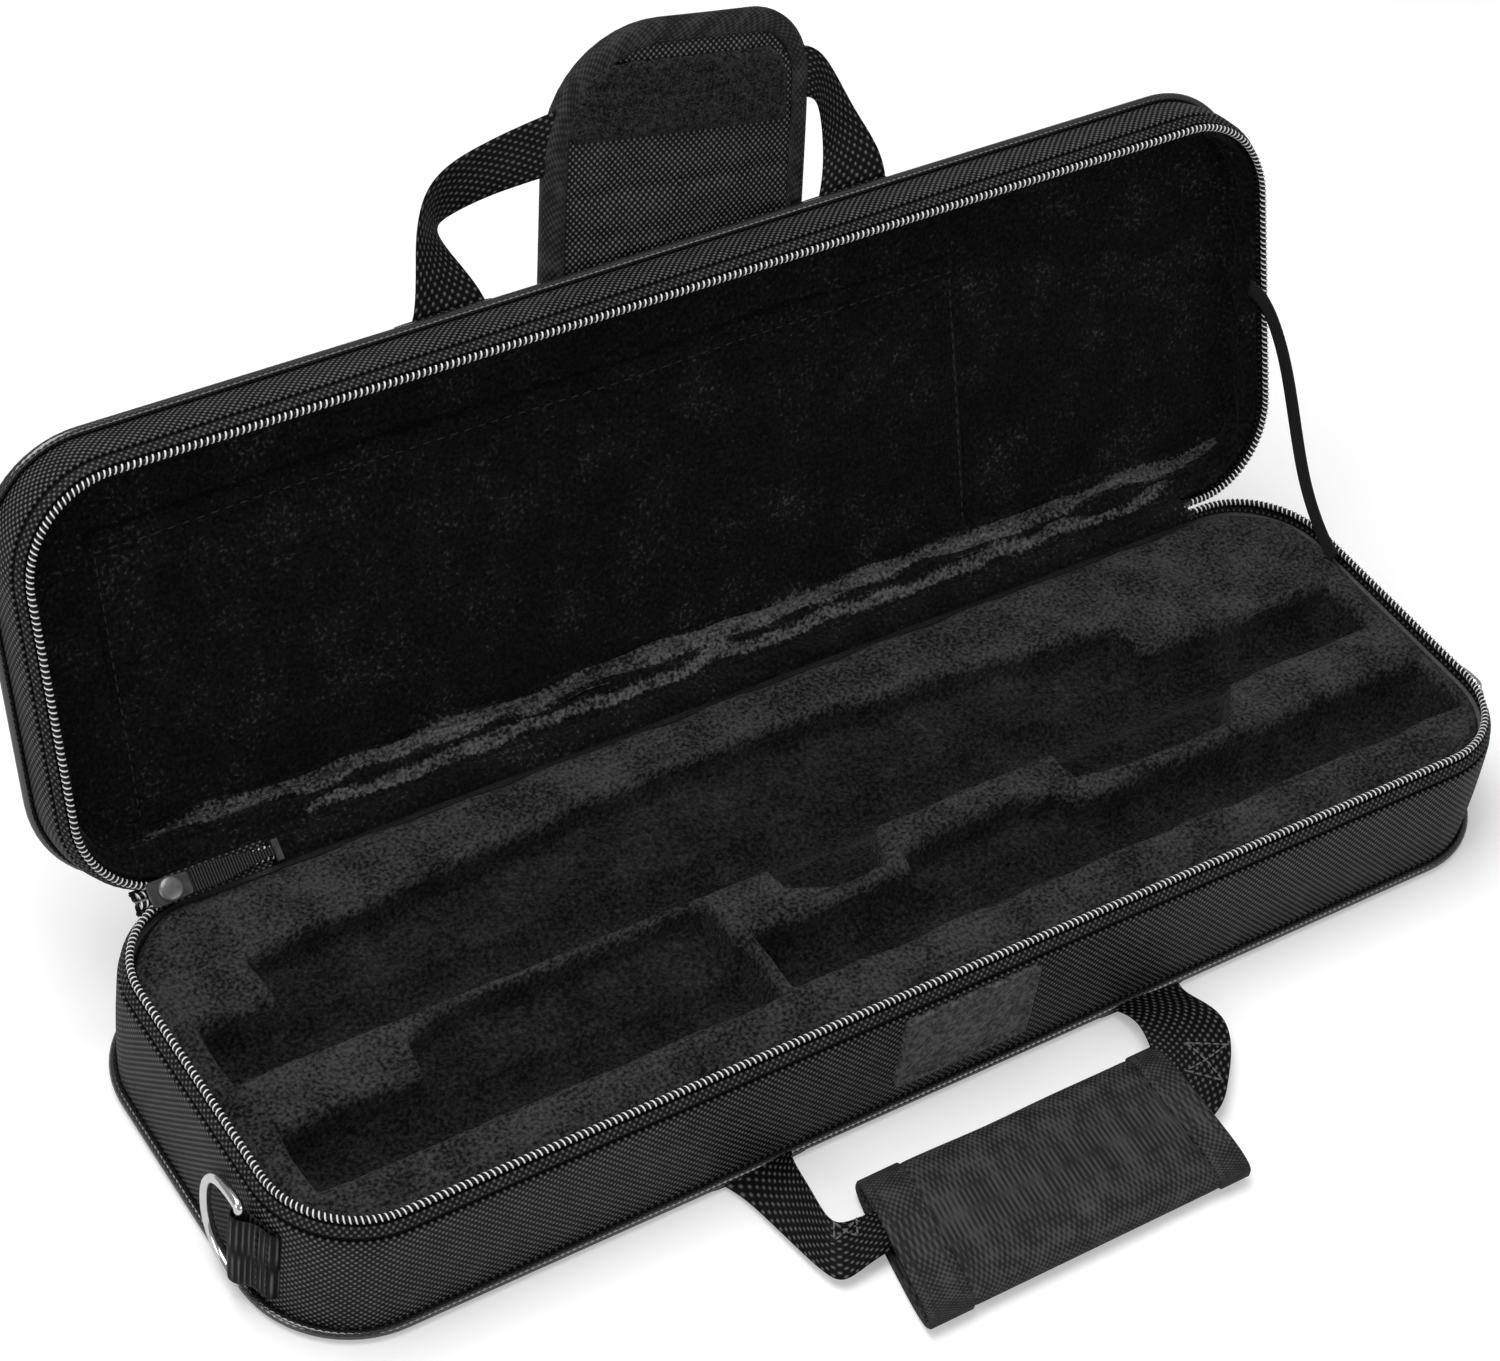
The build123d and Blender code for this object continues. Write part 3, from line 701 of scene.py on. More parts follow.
lid_inward = np.array([0, -math.sin(lid_angle), -math.cos(lid_angle)])
run = np.linspace(0, 1, 60)
hem_x = pocket_left + (pocket_right - pocket_left) * run
hem_v = pocket_hem - 0.0058 + 0.0006 * drift(hem_x, 0 * hem_x, 0.08, 21)
black_thread = twisted_thread("black_thread", (0.010, 0.010, 0.0105), (0.060, 0.060, 0.062), 0.7)
stitches("pocket_hem_stitches", on_lid(hem_x, hem_v, 0.0141), lid_inward, "lid", "lid_plush",
         pitch=0.0042, length=0.0026, material=black_thread)
for name, x_line in (("pocket_side_stitches_left", pocket_left + 0.0015),
                     ("pocket_side_stitches_right", pocket_right - 0.0012)):
    v_line = np.linspace(pocket_foot + 0.004, pocket_hem, 40)
    stitches(name, on_lid(x_line, v_line, 0.0153), lid_inward, "lid", "lid_plush",
             material=black_thread)

# ---- Webbing --------------------------------------------------------------------------------
# Ribbed nylon webbing, thirty millimetres wide with rounded selvedges. Straps of it run under
# the bottom and over the lid, and come out at the front as the two carrying loops.
web_cloth = woven("ribbed_webbing", (0.0015, 0.0015, 0.0017), (0.125, 0.125, 0.128), 0.0016,
                  0.0012, 0.0005, crown=3.4, uneven=0.12)
web_thick = 0.0014


def soft_line(points, count):
    """A cubic B-spline over a few points, with its ends held."""
    points = np.array(points, float) / 1000
    points = np.vstack([2 * points[0] - points[1], points, 2 * points[-1] - points[-2]])
    spans = len(points) - 3
    at = np.linspace(0, spans, count)
    k = np.minimum(at.astype(int), spans - 1)
    t = (at - k)[:, None]
    weights = ((1 - t) ** 3, 3 * t ** 3 - 6 * t ** 2 + 4,
               -3 * t ** 3 + 3 * t ** 2 + 3 * t + 1, t ** 3)
    return sum(w * points[k + i] for i, w in enumerate(weights)) / 6


def webbing(name, edge_a, edge_b, thick, bow=0.0):
    """A strap between two edge lines. Its section is a flat oval: the thickness times the square
    root of one less the fourth power of the place across, bowed by a half sine."""
    place = 0.5 - 0.5 * np.cos(math.pi * np.linspace(0, 1, 13))
    middle, span = (edge_a + edge_b) / 2, edge_b - edge_a
    width = np.linalg.norm(span, axis=1, keepdims=True)
    up = np.cross(np.gradient(middle, axis=0), span / width)
    up /= np.linalg.norm(up, axis=1, keepdims=True)
    swell = thick / 2 * (1 - np.abs(2 * place - 1) ** 4) ** 0.5
    ring = np.concatenate([place, place[-2:0:-1]])
    side = np.concatenate([swell, -swell[-2:0:-1]]) + bow * np.sin(math.pi * ring)
    grid = edge_a[:, None] + span[:, None] * ring[:, None] + up[:, None] * side[:, None]
    return cloth(name, grid, (distances(middle)[:, None],
                              np.append(ring, ring[0])[None, :] * width.mean()),
                 around=True, caps=True)


pale_thread = twisted_thread("pale_thread", (0.05, 0.05, 0.052), (0.30, 0.30, 0.31), 0.4)
strap_at, web_half = 0.065, 0.015
for side, tag in ((-1, "left"), (1, "right")):
    x0, x1 = side * strap_at - web_half, side * strap_at + web_half
    y = np.linspace(-0.0645, 0.0605, 40)
    rows = [np.stack([np.full(y.shape, x), y, np.full(y.shape, 0.0007)], 1) for x in (x0, x1)]
    strap = webbing("bottom_strap_" + tag, *rows, web_thick)
    finish(strap, web_cloth, "base", "webbing", "base_straps")
    v = np.linspace(0.0035, 0.1248, 40)
    strap = webbing("lid_strap_" + tag, on_lid(x1, v, 0.0237), on_lid(x0, v, 0.0237), web_thick)
    finish(strap, web_cloth, "lid", "webbing", "lid_straps")

# ---- Base handle ----------------------------------------------------------------------------
# Each end of the webbing comes out flat from under the front edge, turns and bunches up, and
# slides into a padded nylon sleeve with a hem and two rows of stitching at each end.
near_legs = {
    "left": ([(-50, -57, 0.9), (-50, -60, 1.2), (-55, -64, 3), (-58, -69, 5.5), (-60, -80, 8),
              (-63, -92, 10), (-60, -95, 9.6), (-52, -94, 8), (-44, -94, 5.4), (-34, -95, 4.5)],
             [(-80, -57, 0.9), (-78, -62, 1.2), (-74.5, -70, 1.6), (-73, -78, 1.8),
              (-71, -92, 2.2), (-69.5, -103, 3), (-67, -108, 3.6), (-58, -106, 4.8),
              (-47, -105, 5), (-34, -105, 4.6)]),
    "right": ([(80, -57, 0.9), (79, -62, 1.2), (76.5, -68, 1.8), (80, -76, 3), (79.5, -85, 5),
               (73, -95, 6), (64, -104, 6), (58, -110, 5.6), (38, -115, 4.6)],
              [(50, -57, 0.9), (52, -62, 1.4), (54.5, -67, 4), (54.8, -74, 7), (53, -81, 7.4),
               (51, -87, 6.6), (46, -92, 5.2), (38, -95, 4.5)]),
}
for tag, (inner, outer) in near_legs.items():
    near, far = soft_line(outer, 70), soft_line(inner, 70)
    leg = webbing("base_handle_webbing_" + tag, near, far, web_thick, bow=0.0006)
    finish(leg, web_cloth, "base_handle", "webbing", "base_handle_loop")
    up = np.cross(np.gradient((near + far) / 2, axis=0), far - near)
    up *= np.sign(up[:, 2:]) / np.linalg.norm(up, axis=1, keepdims=True)
    first, last, low, high = (42, 50, 0.66, 0.97) if tag == "left" else (42, 52, 0.42, 0.92)
    for k, (a, b, c, d) in enumerate(((first, low, last, high), (first, high, last, low),
                                      (first, low, first, high), (last, low, last, high))):
        place, share = np.linspace(a, c, 12), np.linspace(b, d, 12)[:, None]
        edge_a, edge_b, lift = (points_at(line, np.arange(70), place) for line in (near, far, up))
        stitches(f"handle_cross_stitches_{tag}_{k + 1}",
                 edge_a + (edge_b - edge_a) * share + 0.0014 * lift, lift.mean(0), "base_handle",
                 "webbing", pitch=0.0026, length=0.0023, radius=0.00033, material=pale_thread)

sleeve_cloth = woven("sleeve_nylon", (0.013, 0.013, 0.0135), (0.054, 0.054, 0.0565), 0.0008,
                     0.0020, 0.0002, crown=1.3, uneven=0.55)
sleeve_near, sleeve_far, sleeve_height = 0.083, 0.130, 0.0088
sleeve_left, sleeve_right = -0.0465, 0.0535
turn = full_turn(72)
flat = np.sign(np.cos(turn)) * np.abs(np.cos(turn)) ** 0.55
crown = np.sign(np.sin(turn)) * np.abs(np.sin(turn)) ** 0.8


def sleeve_rows(share, grow, squeeze):
    """Rings of the sleeve at shares of its length: a flat oval whose half height falls at the
    hems and swells between them, with both ends cut a little aslant."""
    share, grow, squeeze = (np.array(a, float)[:, None] for a in (share, grow, squeeze))
    y = -(sleeve_near + sleeve_far) / 2 - ((sleeve_far - sleeve_near) / 2 + grow) * flat[None]
    slant = (-y - sleeve_near) / (sleeve_far - sleeve_near)
    left, right = sleeve_left - 0.0085 * slant, sleeve_right - 0.002 * slant
    half = sleeve_height / 2 * squeeze + grow
    z = sleeve_height / 2 + half * crown[None]
    z = np.maximum(z + 0.0005 * drift(left + (right - left) * share, y, 0.05, 31) * (crown > 0),
                   0.0004)
    return np.stack([left + (right - left) * share + 0 * y, y + 0 * share, z + 0 * share], -1)


hem_left, hem_right = 0.14, 0.90
body_share = np.linspace(hem_left + 0.02, hem_right - 0.02, 40)
share = np.concatenate([[0.0, 0.010, hem_left - 0.014, hem_left - 0.002, hem_left + 0.006],
                        body_share, [hem_right - 0.006, hem_right + 0.002, hem_right + 0.014,
                                     0.990, 1.0]])
squeeze = np.concatenate([[0.72, 0.84, 0.84, 0.68, 0.92],
                          0.97 + 0.03 * np.sin(math.pi * np.linspace(0, 1, 40)),
                          [0.92, 0.68, 0.84, 0.84, 0.72]])
inner_share = np.linspace(1.0, 0.0, 12)
rows = np.vstack([sleeve_rows(share, 0 * share, squeeze),
                  sleeve_rows(inner_share, np.full(12, -0.0013), np.full(12, 0.80))])
s = np.concatenate([share, 2 - inner_share, [2.05]]) * 0.1
sleeve_round = np.linspace(0, 0.112, 73)[None, :]
sleeve = cloth("hand_sleeve", rows, (s[:, None], sleeve_round), around=True, along=True)
finish(sleeve, sleeve_cloth, "base_handle", "sleeve_cloth", "base_handle_sleeve")
hem_cloth = woven("sleeve_hem_nylon", (0.014, 0.014, 0.0145), (0.060, 0.060, 0.063), 0.0009,
                  0.0008, 0.0002, uneven=0.5)
for tag, low, high in (("left", -0.004, hem_left - 0.006), ("right", hem_right + 0.006, 1.004)):
    share = np.array([low + 0.004, low, low + 0.006, *np.linspace(low + 0.02, high - 0.02, 6),
                      high - 0.006, high, high - 0.004])
    grow = np.array([-0.0012, 0.0001, 0.0006, *np.full(6, 0.0006), 0.0006, 0.0001, -0.0012])
    rows = sleeve_rows(share, grow, np.full(12, 0.86))
    band = cloth("sleeve_hem_" + tag, rows, (share[:, None] * 0.1, sleeve_round), around=True)
    finish(band, hem_cloth, "base_handle", "sleeve_cloth")
for k, place in enumerate((0.022, hem_left - 0.030, hem_right + 0.030, 0.978)):
    ring = sleeve_rows([place], [0.00075], [0.86])[0]
    top = ring[(ring[:, 2] > sleeve_height / 2) & (np.abs(flat) < 0.985)]
    stitches(f"sleeve_hem_stitches_{k + 1}", top[np.argsort(top[:, 1])], (0, 0, 1), "base_handle",
             "sleeve_cloth", pitch=0.0032, length=0.0022)

# ---- Lid handle -----------------------------------------------------------------------------
# The lid's webbing leaves the top edge of the lid, twists half over and runs through a padded
# wrap with a bound edge. The wrap's top folds over both handles and grips with a napped panel.
fold_v, wrap_centre, wrap_half = 0.1735, 0.012, 0.0425
wrap_low, wrap_high, wrap_mid = 0.094, 0.1866, 0.0274
wrap_tilt, wrap_pivot = math.radians(8.4), (0.0098, 0.118)


def lid_line(points, count):
    """A soft line through places in the open lid: along the case, from the hinge, above it."""
    return on_lid(*soft_line(points, count).T)


far_legs = {
    "left": ([(-80, 114, 24.2), (-77, 120, 24.3), (-73, 125, 24.8), (-70.5, 136, 26),
              (-68.5, 147, 27.2), (-64, 158, 28), (-56, 163.5, 28), (-46, 166, 27.8),
              (-36, 168, 27.5), (-20, 170, 27.3)],
             [(-50, 114, 24.2), (-50, 121, 24.8), (-52, 128, 27), (-56, 136, 30.5),
              (-60.5, 144.5, 33.5), (-56, 146.5, 34), (-46, 149.5, 32), (-36, 151.5, 29),
              (-20, 152.5, 27.3)]),
    "right": ([(50, 114, 24.2), (56, 120, 24.7), (61, 129, 27.5), (63.5, 138, 30), (62.5, 148, 29),
               (60, 153.5, 28), (50, 154, 27.6), (34, 154, 27.3)],
              [(80, 114, 24.2), (80.5, 122, 24.5), (80.5, 132, 26), (74, 145, 29), (68, 158, 28.2),
               (62, 168, 27.6), (50, 170, 27.4), (34, 172, 27.3)]),
}
for tag, (edge_a, edge_b) in far_legs.items():
    leg = webbing("lid_handle_webbing_" + tag, lid_line(edge_a, 80), lid_line(edge_b, 80),
                  web_thick, bow=0.0005)
    finish(leg, web_cloth, "lid_handle", "webbing", "lid_handle_loop")


def wrap_outline(inset):
    """The wrap's outline, anticlockwise from the foot's right corner: four quarter circles, small
    at the foot and wide at the top, with straight runs between them, all drawn in by the inset."""
    parts = []
    for side, v, end, radius, start in (
            (1, wrap_low + inset, 1, 0.008, 270), (1, wrap_high - inset, -1, 0.019, 0),
            (-1, wrap_high - inset, -1, 0.036, 90), (-1, wrap_low + inset, 1, 0.008, 180)):
        radius = max(radius - inset, 0.0006)
        turn = np.radians(start + np.linspace(0, 90, 13))
        parts.append(np.stack([
            wrap_centre + side * (wrap_half - inset - radius) + radius * np.cos(turn),
            v + end * radius + radius * np.sin(turn)], 1))
    loop = np.vstack(parts + [parts[0][:1]])
    walked = distances(loop)
    return points_at(loop, walked, np.linspace(0, walked[-1], 241)[:-1])


def on_wrap(x, v, height):
    """A place on the wrap, which leans sideways in the plane of the lid by its tilt, and curls
    back a little towards both sides and the top."""
    dx, dv = x - wrap_centre, v - wrap_pivot[1]
    c, s = math.cos(wrap_tilt), math.sin(wrap_tilt)
    curl = 0.0016 * (dx / wrap_half) ** 2 + 0.0012 * ease((v - 0.150) / 0.04)
    return on_lid(wrap_pivot[0] + dx * c + dv * s, wrap_pivot[1] - dx * s + dv * c,
                  wrap_mid + curl - height)


def wrap_rings(insets, heights):
    """Rings of the wrap at these insets, each at its height above the wrap's middle sheet; the
    field is creased across by two shallow valleys."""
    rings = []
    for inset, height in zip(insets, heights):
        x, v = wrap_outline(inset).T
        valley = sum(depth * np.exp(-((v - at - 0.04 * (x - wrap_centre)) / 0.0022) ** 2)
                     for at, depth in ((0.1405, 0.0008), (0.128, 0.0004)))
        unrest = 0.0003 * drift(x, v, 0.03, 41)
        field = np.clip((inset - 0.004) / 0.006, 0, 1)
        rings.append(on_wrap(x, v, height - np.sign(height) * field * (valley + unrest)))
    return np.stack(rings)


def bend_at_fold(piece):
    """Bakes the piece's placing into its points; nothing beyond the fold line turns with the flap.
    """
    start, end = (tuple(on_wrap(wrap_centre, fold_v + past, 0)) for past in (-0.003, 0.004))
    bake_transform(piece)


bend = np.linspace(0, 1, 9)
insets = np.concatenate([np.linspace(0.0420, 0.004, 44), 0.004 - 0.003 * bend[1:],
                         [0.0006], 0.001 + 0.003 * bend, np.linspace(0.006, 0.0420, 24)])
heights = np.concatenate([np.full(44, 0.0021), 0.0021 * np.cos(bend[1:] * 1.2),
                          [0.0], -0.0021 * np.cos((1 - bend) * 1.2), np.full(24, -0.0021)])
wrap_nylon = woven("wrap_nylon", (0.002, 0.002, 0.0022), (0.17, 0.17, 0.175), 0.00095, 0.00095,
                   0.0003, crown=2.4, uneven=0.1)
wrap_pad = cloth("grip_wrap", wrap_rings(insets, heights),
                 wrapped(np.stack([wrap_outline(i) for i in insets]), 0, 1), around=True,
                 caps=True)
finish(wrap_pad, wrap_nylon, None, "sleeve_cloth", "grip_pad", "grip_flap")
bend_at_fold(wrap_pad)

binding_cloth = woven("binding_tape", (0.010, 0.010, 0.0105), (0.040, 0.040, 0.042), 0.0011,
                      0.0009, 0.0002, uneven=0.8)
bound = np.array([(6.6, 2.1), (6.4, 2.75), (5.2, 2.85), (3.4, 2.85), (1.8, 2.7), (0.7, 2.1),
                  (0.1, 1), (0, 0), (0.1, -1), (0.7, -2.1), (1.8, -2.7), (3.4, -2.85),
                  (5.2, -2.85), (6.4, -2.75), (6.6, -2.1), (4, -1.6), (1.6, 0), (4, 1.6)]) / 1000
loop = wrap_outline(0)
around = distances(np.vstack([loop, loop[:1]]))
pucker = 0.00018 * np.sin(around[:-1] / 0.0021)
pucker = pucker * np.clip((bound[:, 0] - 0.004) / 0.004, 0, 1)[:, None]
rings = wrap_rings(*bound.T)
rings = rings - pucker[..., None] * lid_inward * np.sign(bound[:, 1])[:, None, None]
binding = cloth("grip_binding", rings, (around[None, :], np.linspace(0, 0.03, 19)[:, None]),
                around=True, along=True)
finish(binding, binding_cloth, None, "sleeve_cloth")
bend_at_fold(binding)
bend_at_fold(stitches("grip_binding_stitches", on_wrap(*wrap_outline(0.0056).T, 0.00295),
                      lid_inward, None, "sleeve_cloth", pitch=0.0030, length=0.0021,
                      radius=0.00025))

# Napped half of the touch fastener, sewn across the head of the wrap, inside the binding.
hook_loops = napped("napped_fastener", (0.002, 0.002, 0.0023), (0.036, 0.036, 0.038), 1500, 500,
                    0.3, 0.0009, 0.1)
share_x, share_v = np.meshgrid(np.linspace(-1, 1, 121), np.linspace(0, 1, 41), indexing="ij")
nap_half, nap_low, nap_high = 0.0335, 0.1560, wrap_high - 0.0115
nap_v = nap_low + (nap_high - nap_low) * share_v
left_corner, right_corner = 0.0160, 0.008
corner = np.where(share_x < 0, left_corner, right_corner)
pinch = corner - np.sqrt(np.clip(
    corner ** 2 - np.clip(nap_v - nap_high + corner, 0, corner) ** 2, 0, None))
nap_x = wrap_centre - 0.0008 + share_x * (nap_half - pinch)
edge = np.minimum(np.minimum(1 - np.abs(share_x), share_v * 0.4), (1 - share_v) * 0.4)
tuft = 0.00016 * np.random.default_rng(17).standard_normal(nap_x.shape)
nap_n = 0.0022 + 0.0010 * np.clip(edge / 0.025, 0, 1) ** 0.5 + tuft
nap = cloth("napped_panel", on_wrap(nap_x, nap_v, nap_n), (nap_x, nap_v), thick=0.0012)
finish(nap, hook_loops, None, "fastener", "grip_hook_panel")
bend_at_fold(nap)

# ---- Front patch ----------------------------------------------------------------------------
# Soft moulded patch with a rolled rim and a plain grained field, sewn to the front wall.
patch_low, patch_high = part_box("front_patch")
patch_skin = napped("grained_patch", (0.0002, 0.0002, 0.0003), (0.085, 0.085, 0.0875), 700, 200,
                    0.2, 0.0012, 0.0, roughness=0.5, gloss=0.5)
half_x, half_z = (patch_high.x - patch_low.x) / 2, (patch_high.z - patch_low.z) / 2
middle_z, radius = (patch_high.z + patch_low.z) / 2, 0.003
profile = np.array([(12.9, 0.7), (10, 0.8), (6, 0.8), (3.6, 0.7), (3.0, 0.5), (2.6, 0.6),
                    (2.1, 1.1), (1.4, 1.4), (0.8, 1.2), (0.3, 0.7), (0, 0.0)]) / 1000
c, s = np.cos(full_turn(120)), np.sin(full_turn(120))
rings = []
for inset, height in profile:
    a, b, r = half_x - inset, half_z - inset, max(radius - inset, 0.0008)
    reach = 1 / np.maximum(np.abs(c) / a, np.abs(s) / b)
    past_x, past_z = (np.maximum(np.abs(reach * k) - end + r, 0) for k, end in ((c, a), (s, b)))
    over = np.hypot(past_x, past_z)
    pull = np.where(over > r, r / np.maximum(over, 1e-9), 1)
    x = np.sign(c) * (np.minimum(np.abs(reach * c), a - r) + past_x * pull)
    z = np.sign(s) * (np.minimum(np.abs(reach * s), b - r) + past_z * pull)
    rings.append(np.stack([x, np.full(x.shape, -wall_width - 0.0003 - height), middle_z + z], 1))
rings = np.array(rings)
patch = cloth("plain_patch", rings, wrapped(rings, 0, 2), around=True, caps=True)
finish(patch, patch_skin, "base", "patch", "front_patch")

# ---- Strap rings and their tabs -------------------------------------------------------------
# Nickel-plated steel wire bent to a D and butt-welded in the straight side, held at each end of
# the case by a loop of webbing that is sewn to the wall with upright rows of stitches.
def hazed_metal(name, tints, gloss, scale, detail, **values):
    """Metal under a slow haze: one noise moves its roughness and its tint, each between two."""
    material, shader, add, link = new_material(name, **values)
    haze = add("TexNoise", Scale=scale, Detail=detail)
    link(add("TexCoord").outputs["Object"], haze.inputs["Vector"])
    greys = [(level, level, level) for level in gloss]
    for socket, shades in (("Roughness", greys), ("Base Color", tints)):
        ramp = two_shades(add, *shades)
        link(haze.outputs[0], ramp.inputs["Fac"])
        link(ramp.outputs["Color"], shader.inputs[socket])
    return material


nickel = hazed_metal("nickel_plate", ((0.56, 0.56, 0.57), (0.80, 0.80, 0.81)), (0.10, 0.24),
                     220, 5, Metallic=1.0)

ring_joint = next(j for j in frame["joints"] if j["name"] == "ring_left_swing")
bar_x, bar_y, bar_z = (abs(ring_joint["pos_m"][0]), *ring_joint["pos_m"][1:])
ring_low, ring_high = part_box("d_ring_left")
wire, tab_high = 0.0015, 0.0265
tab_cloth = woven("tab_webbing", (0.001, 0.001, 0.0012), (0.10, 0.10, 0.104), 0.0008, 0.0135,
                  0.0006, crown=2.6, uneven=0.3)
corner_x, corner_y = wall_length - wall_corner, wall_corner - wall_width


def d_line(count):
    """The wire's line: a straight bar, a bow that is half of an ellipse whose quarters are drawn
    out by a power, and two short bends between them."""
    half, reach = (ring_high.z - ring_low.z) / 2 - 0.0012, ring_high.y - bar_y - wire
    bow = np.linspace(-math.pi / 2, math.pi / 2, 90)
    y = reach * np.abs(np.cos(bow)) ** 0.75
    z = half * np.sign(np.sin(bow)) * np.abs(np.sin(bow)) ** 0.9
    bar = np.linspace(half, -half, 30)[1:-1]
    line = np.vstack([np.stack([y, z], 1), np.stack([0 * bar, bar], 1)])
    line = np.vstack([line, line[:1]])
    walked = distances(line)
    line = points_at(line, walked, np.linspace(0, walked[-1], count + 1)[:-1])
    for _ in range(3):
        line = (np.roll(line, 1, 0) + 2 * line + np.roll(line, -1, 0)) / 4
    return line


def round_corner(off, y):
    """A point off the wall's face at this y, beyond the start of its rounded front corner."""
    turn = math.asin(np.clip((corner_y - y) / wall_corner, 0, 1))
    reach = wall_corner + off
    return corner_x + reach * math.cos(turn), min(y, corner_y - reach * math.sin(turn))


for side, tag in ((-1, "left"), (1, "right")):
    line = d_line(150)
    along = np.roll(line, -1, 0) - np.roll(line, 1, 0)
    along /= np.linalg.norm(along, axis=1, keepdims=True)
    turn = full_turn(18)
    offset = wire * np.stack([along[:, 1:] * np.cos(turn), -along[:, :1] * np.cos(turn)], -1)
    grid = np.stack([side * bar_x + np.broadcast_to(wire * np.sin(turn), offset.shape[:2]),
                     bar_y + line[:, :1] + offset[..., 0],
                     bar_z + line[:, 1:] + offset[..., 1]], -1)
    ring = cloth("strap_ring_" + tag, grid, (np.linspace(0, 0.09, 151)[:, None],
                                             np.linspace(0, 0.0094, 19)[None, :]),
                 around=True, along=True)
    finish(ring, nickel, "ring_" + tag, "ring_metal", "d_ring_" + tag)

    z0, z1 = bar_z - tab_high / 2, bar_z + tab_high / 2
    path = [round_corner(reach, y) for reach, y in (
        (0.0, -0.0455), (0.0017, -0.0452), (0.0021, -0.0440), (0.0021, -0.0415),
        (0.0023, -0.0390))]
    path += [(bar_x + across, bar_y + along) for across, along in (
        (0.0010, -0.0026), (0.0024, -0.0006), (0.0021, 0.0016), (0.0, 0.0027),
        (-0.0021, 0.0015), (-0.0021, -0.0008))]
    path += [round_corner(0.0008, y) for y in (-0.0395, -0.0420, -0.0440)]
    line = soft_line([(x * 1000, y * 1000, 0) for x, y in path], 70)
    rows = [np.stack([side * line[:, 0], line[:, 1], np.full(70, z)], 1) for z in (z0, z1)]
    tab = webbing("ring_tab_webbing_" + tag, *rows, 0.0012)
    finish(tab, tab_cloth, "base", "webbing", "ring_tab_" + tag)
    for k, y in enumerate((-0.0437, -0.0405)):
        x, y = round_corner(0.0029, y)
        seam = [(side * x, y, z) for z in np.linspace(z0 + 0.001, z1 - 0.001, 9)]
        stitches(f"ring_tab_stitches_{tag}_{k + 1}", seam, (side, 0, 0), "base", "webbing",
                 pitch=0.0026, length=0.0019)

# ---- Zip ends, slider and pull --------------------------------------------------------------
# At the left the two coils are meshed and their start is crimped in a metal box; the slider
# rests there. At the right each coil ends in a small bright stop.
enamel, rubbed_enamel = (
    hazed_metal(name, tints, (0.28, 0.48), 500, 2, Metallic=0.6, Coat_Weight=0.3)
    for name, tints in (("dark_enamelled_zinc", ((0.03, 0.03, 0.031), (0.09, 0.09, 0.092))),
                        ("rubbed_enamel", ((0.09, 0.09, 0.092), (0.22, 0.22, 0.225)))))
dress(enamel, "zip_metal", "zip_slider", "zip_puller", "zip_bottom_stop")
dress(nickel, "zip_metal", "base_zip_stop", "lid_zip_stop")

chain_low, chain_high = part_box("zip_chain")
chain_turn = lid_angle / 2
chain_out = np.array([0, math.cos(chain_turn), -math.sin(chain_turn)])
chain_over = np.array([0, math.sin(chain_turn), math.cos(chain_turn)])


def on_chain(x, over, out):
    """A place in the meshed zip: over towards the lid's half, and out away from the case."""
    x, over, out = np.broadcast_arrays(x, over, out)
    middle = np.stack([x, np.full(x.shape, hinge_at[1]), np.full(x.shape, hinge_at[2])], -1)
    return middle + over[..., None] * chain_over + out[..., None] * chain_out


chain_s = np.arange(chain_low.x + 0.0005, chain_high.x - 0.0003, coil_pitch / 5)
chain_out_reach = 0.85 * coil_reach(chain_s) * np.sin(teeth_turn)[:, None]
across = np.linspace(0.0019, 0.0039, 5)[:, None]
for half, tag in ((-1, "base"), (1, "lid")):
    over = half * 0.00145 + 0.62 * coil_reach(chain_s) * np.cos(teeth_turn)[:, None]
    coil("meshed_coil_" + tag, on_chain(chain_s[None], over, chain_out_reach),
         chain_s - chain_s[0], "zip_chain", "zip_chain")
    grid = on_chain(chain_s[::4][None], half * across, -0.0002 - 40 * (across - 0.0019) ** 2)
    wing = cloth("meshed_tape_" + tag, grid, (chain_s[::4][None], across), thick=0.0005)
    finish(wing, tape_cloth, "zip_chain", "zip_tape")

# Behind the slider the inner faces of the coils close the slot between the two tapes.
guard_start, guard_end = -0.172, -0.147
guard_s = np.arange(guard_start, guard_end, coil_pitch / 12)[None]
guard_out = -0.0028 + 0.00028 * np.sin(4 * math.pi * guard_s / coil_pitch)
guard_half = 0.0033 - 0.0022 * ease((guard_s + 0.166) / 0.019)
guard = cloth("meshed_coil_back",
              on_chain(guard_s, np.linspace(-1, 1, 13)[:, None] * guard_half, guard_out),
              (2 * guard_s, np.zeros((13, 1))), thick=0.0006)
# Painted shade: the same thread painted much darker for the shaded slot behind the slider, with
# only a dim painted highlight on each turn.
finish(guard, wound_thread("nylon_thread_underside", (0.032, 0.032, 0.033)), "zip_chain",
       "zip_coil")

# The slider's back is a low dome, and its enamel is paler than the rest of the slider.
slider_low, slider_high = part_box("zip_slider")
cap_reach = np.array([2.6, 3.5, 3.5, 3.3, 2.8, 2.0, 1.0, 0.05])[:, None] / 1000
cap_out = np.array([1.2, 2.4, 2.9, 3.2, 3.45, 3.65, 3.75, 3.8])[:, None] / -1000
turn = full_turn(32)
cap = cloth("slider_cap", on_chain((slider_low.x + slider_high.x) / 2 + cap_reach * np.cos(turn),
                                   cap_reach * np.sin(turn), cap_out),
            (np.linspace(0, 0.02, 33)[None], cap_reach), around=True, caps=True)
finish(cap, rubbed_enamel, "zip_slider", "zip_metal")

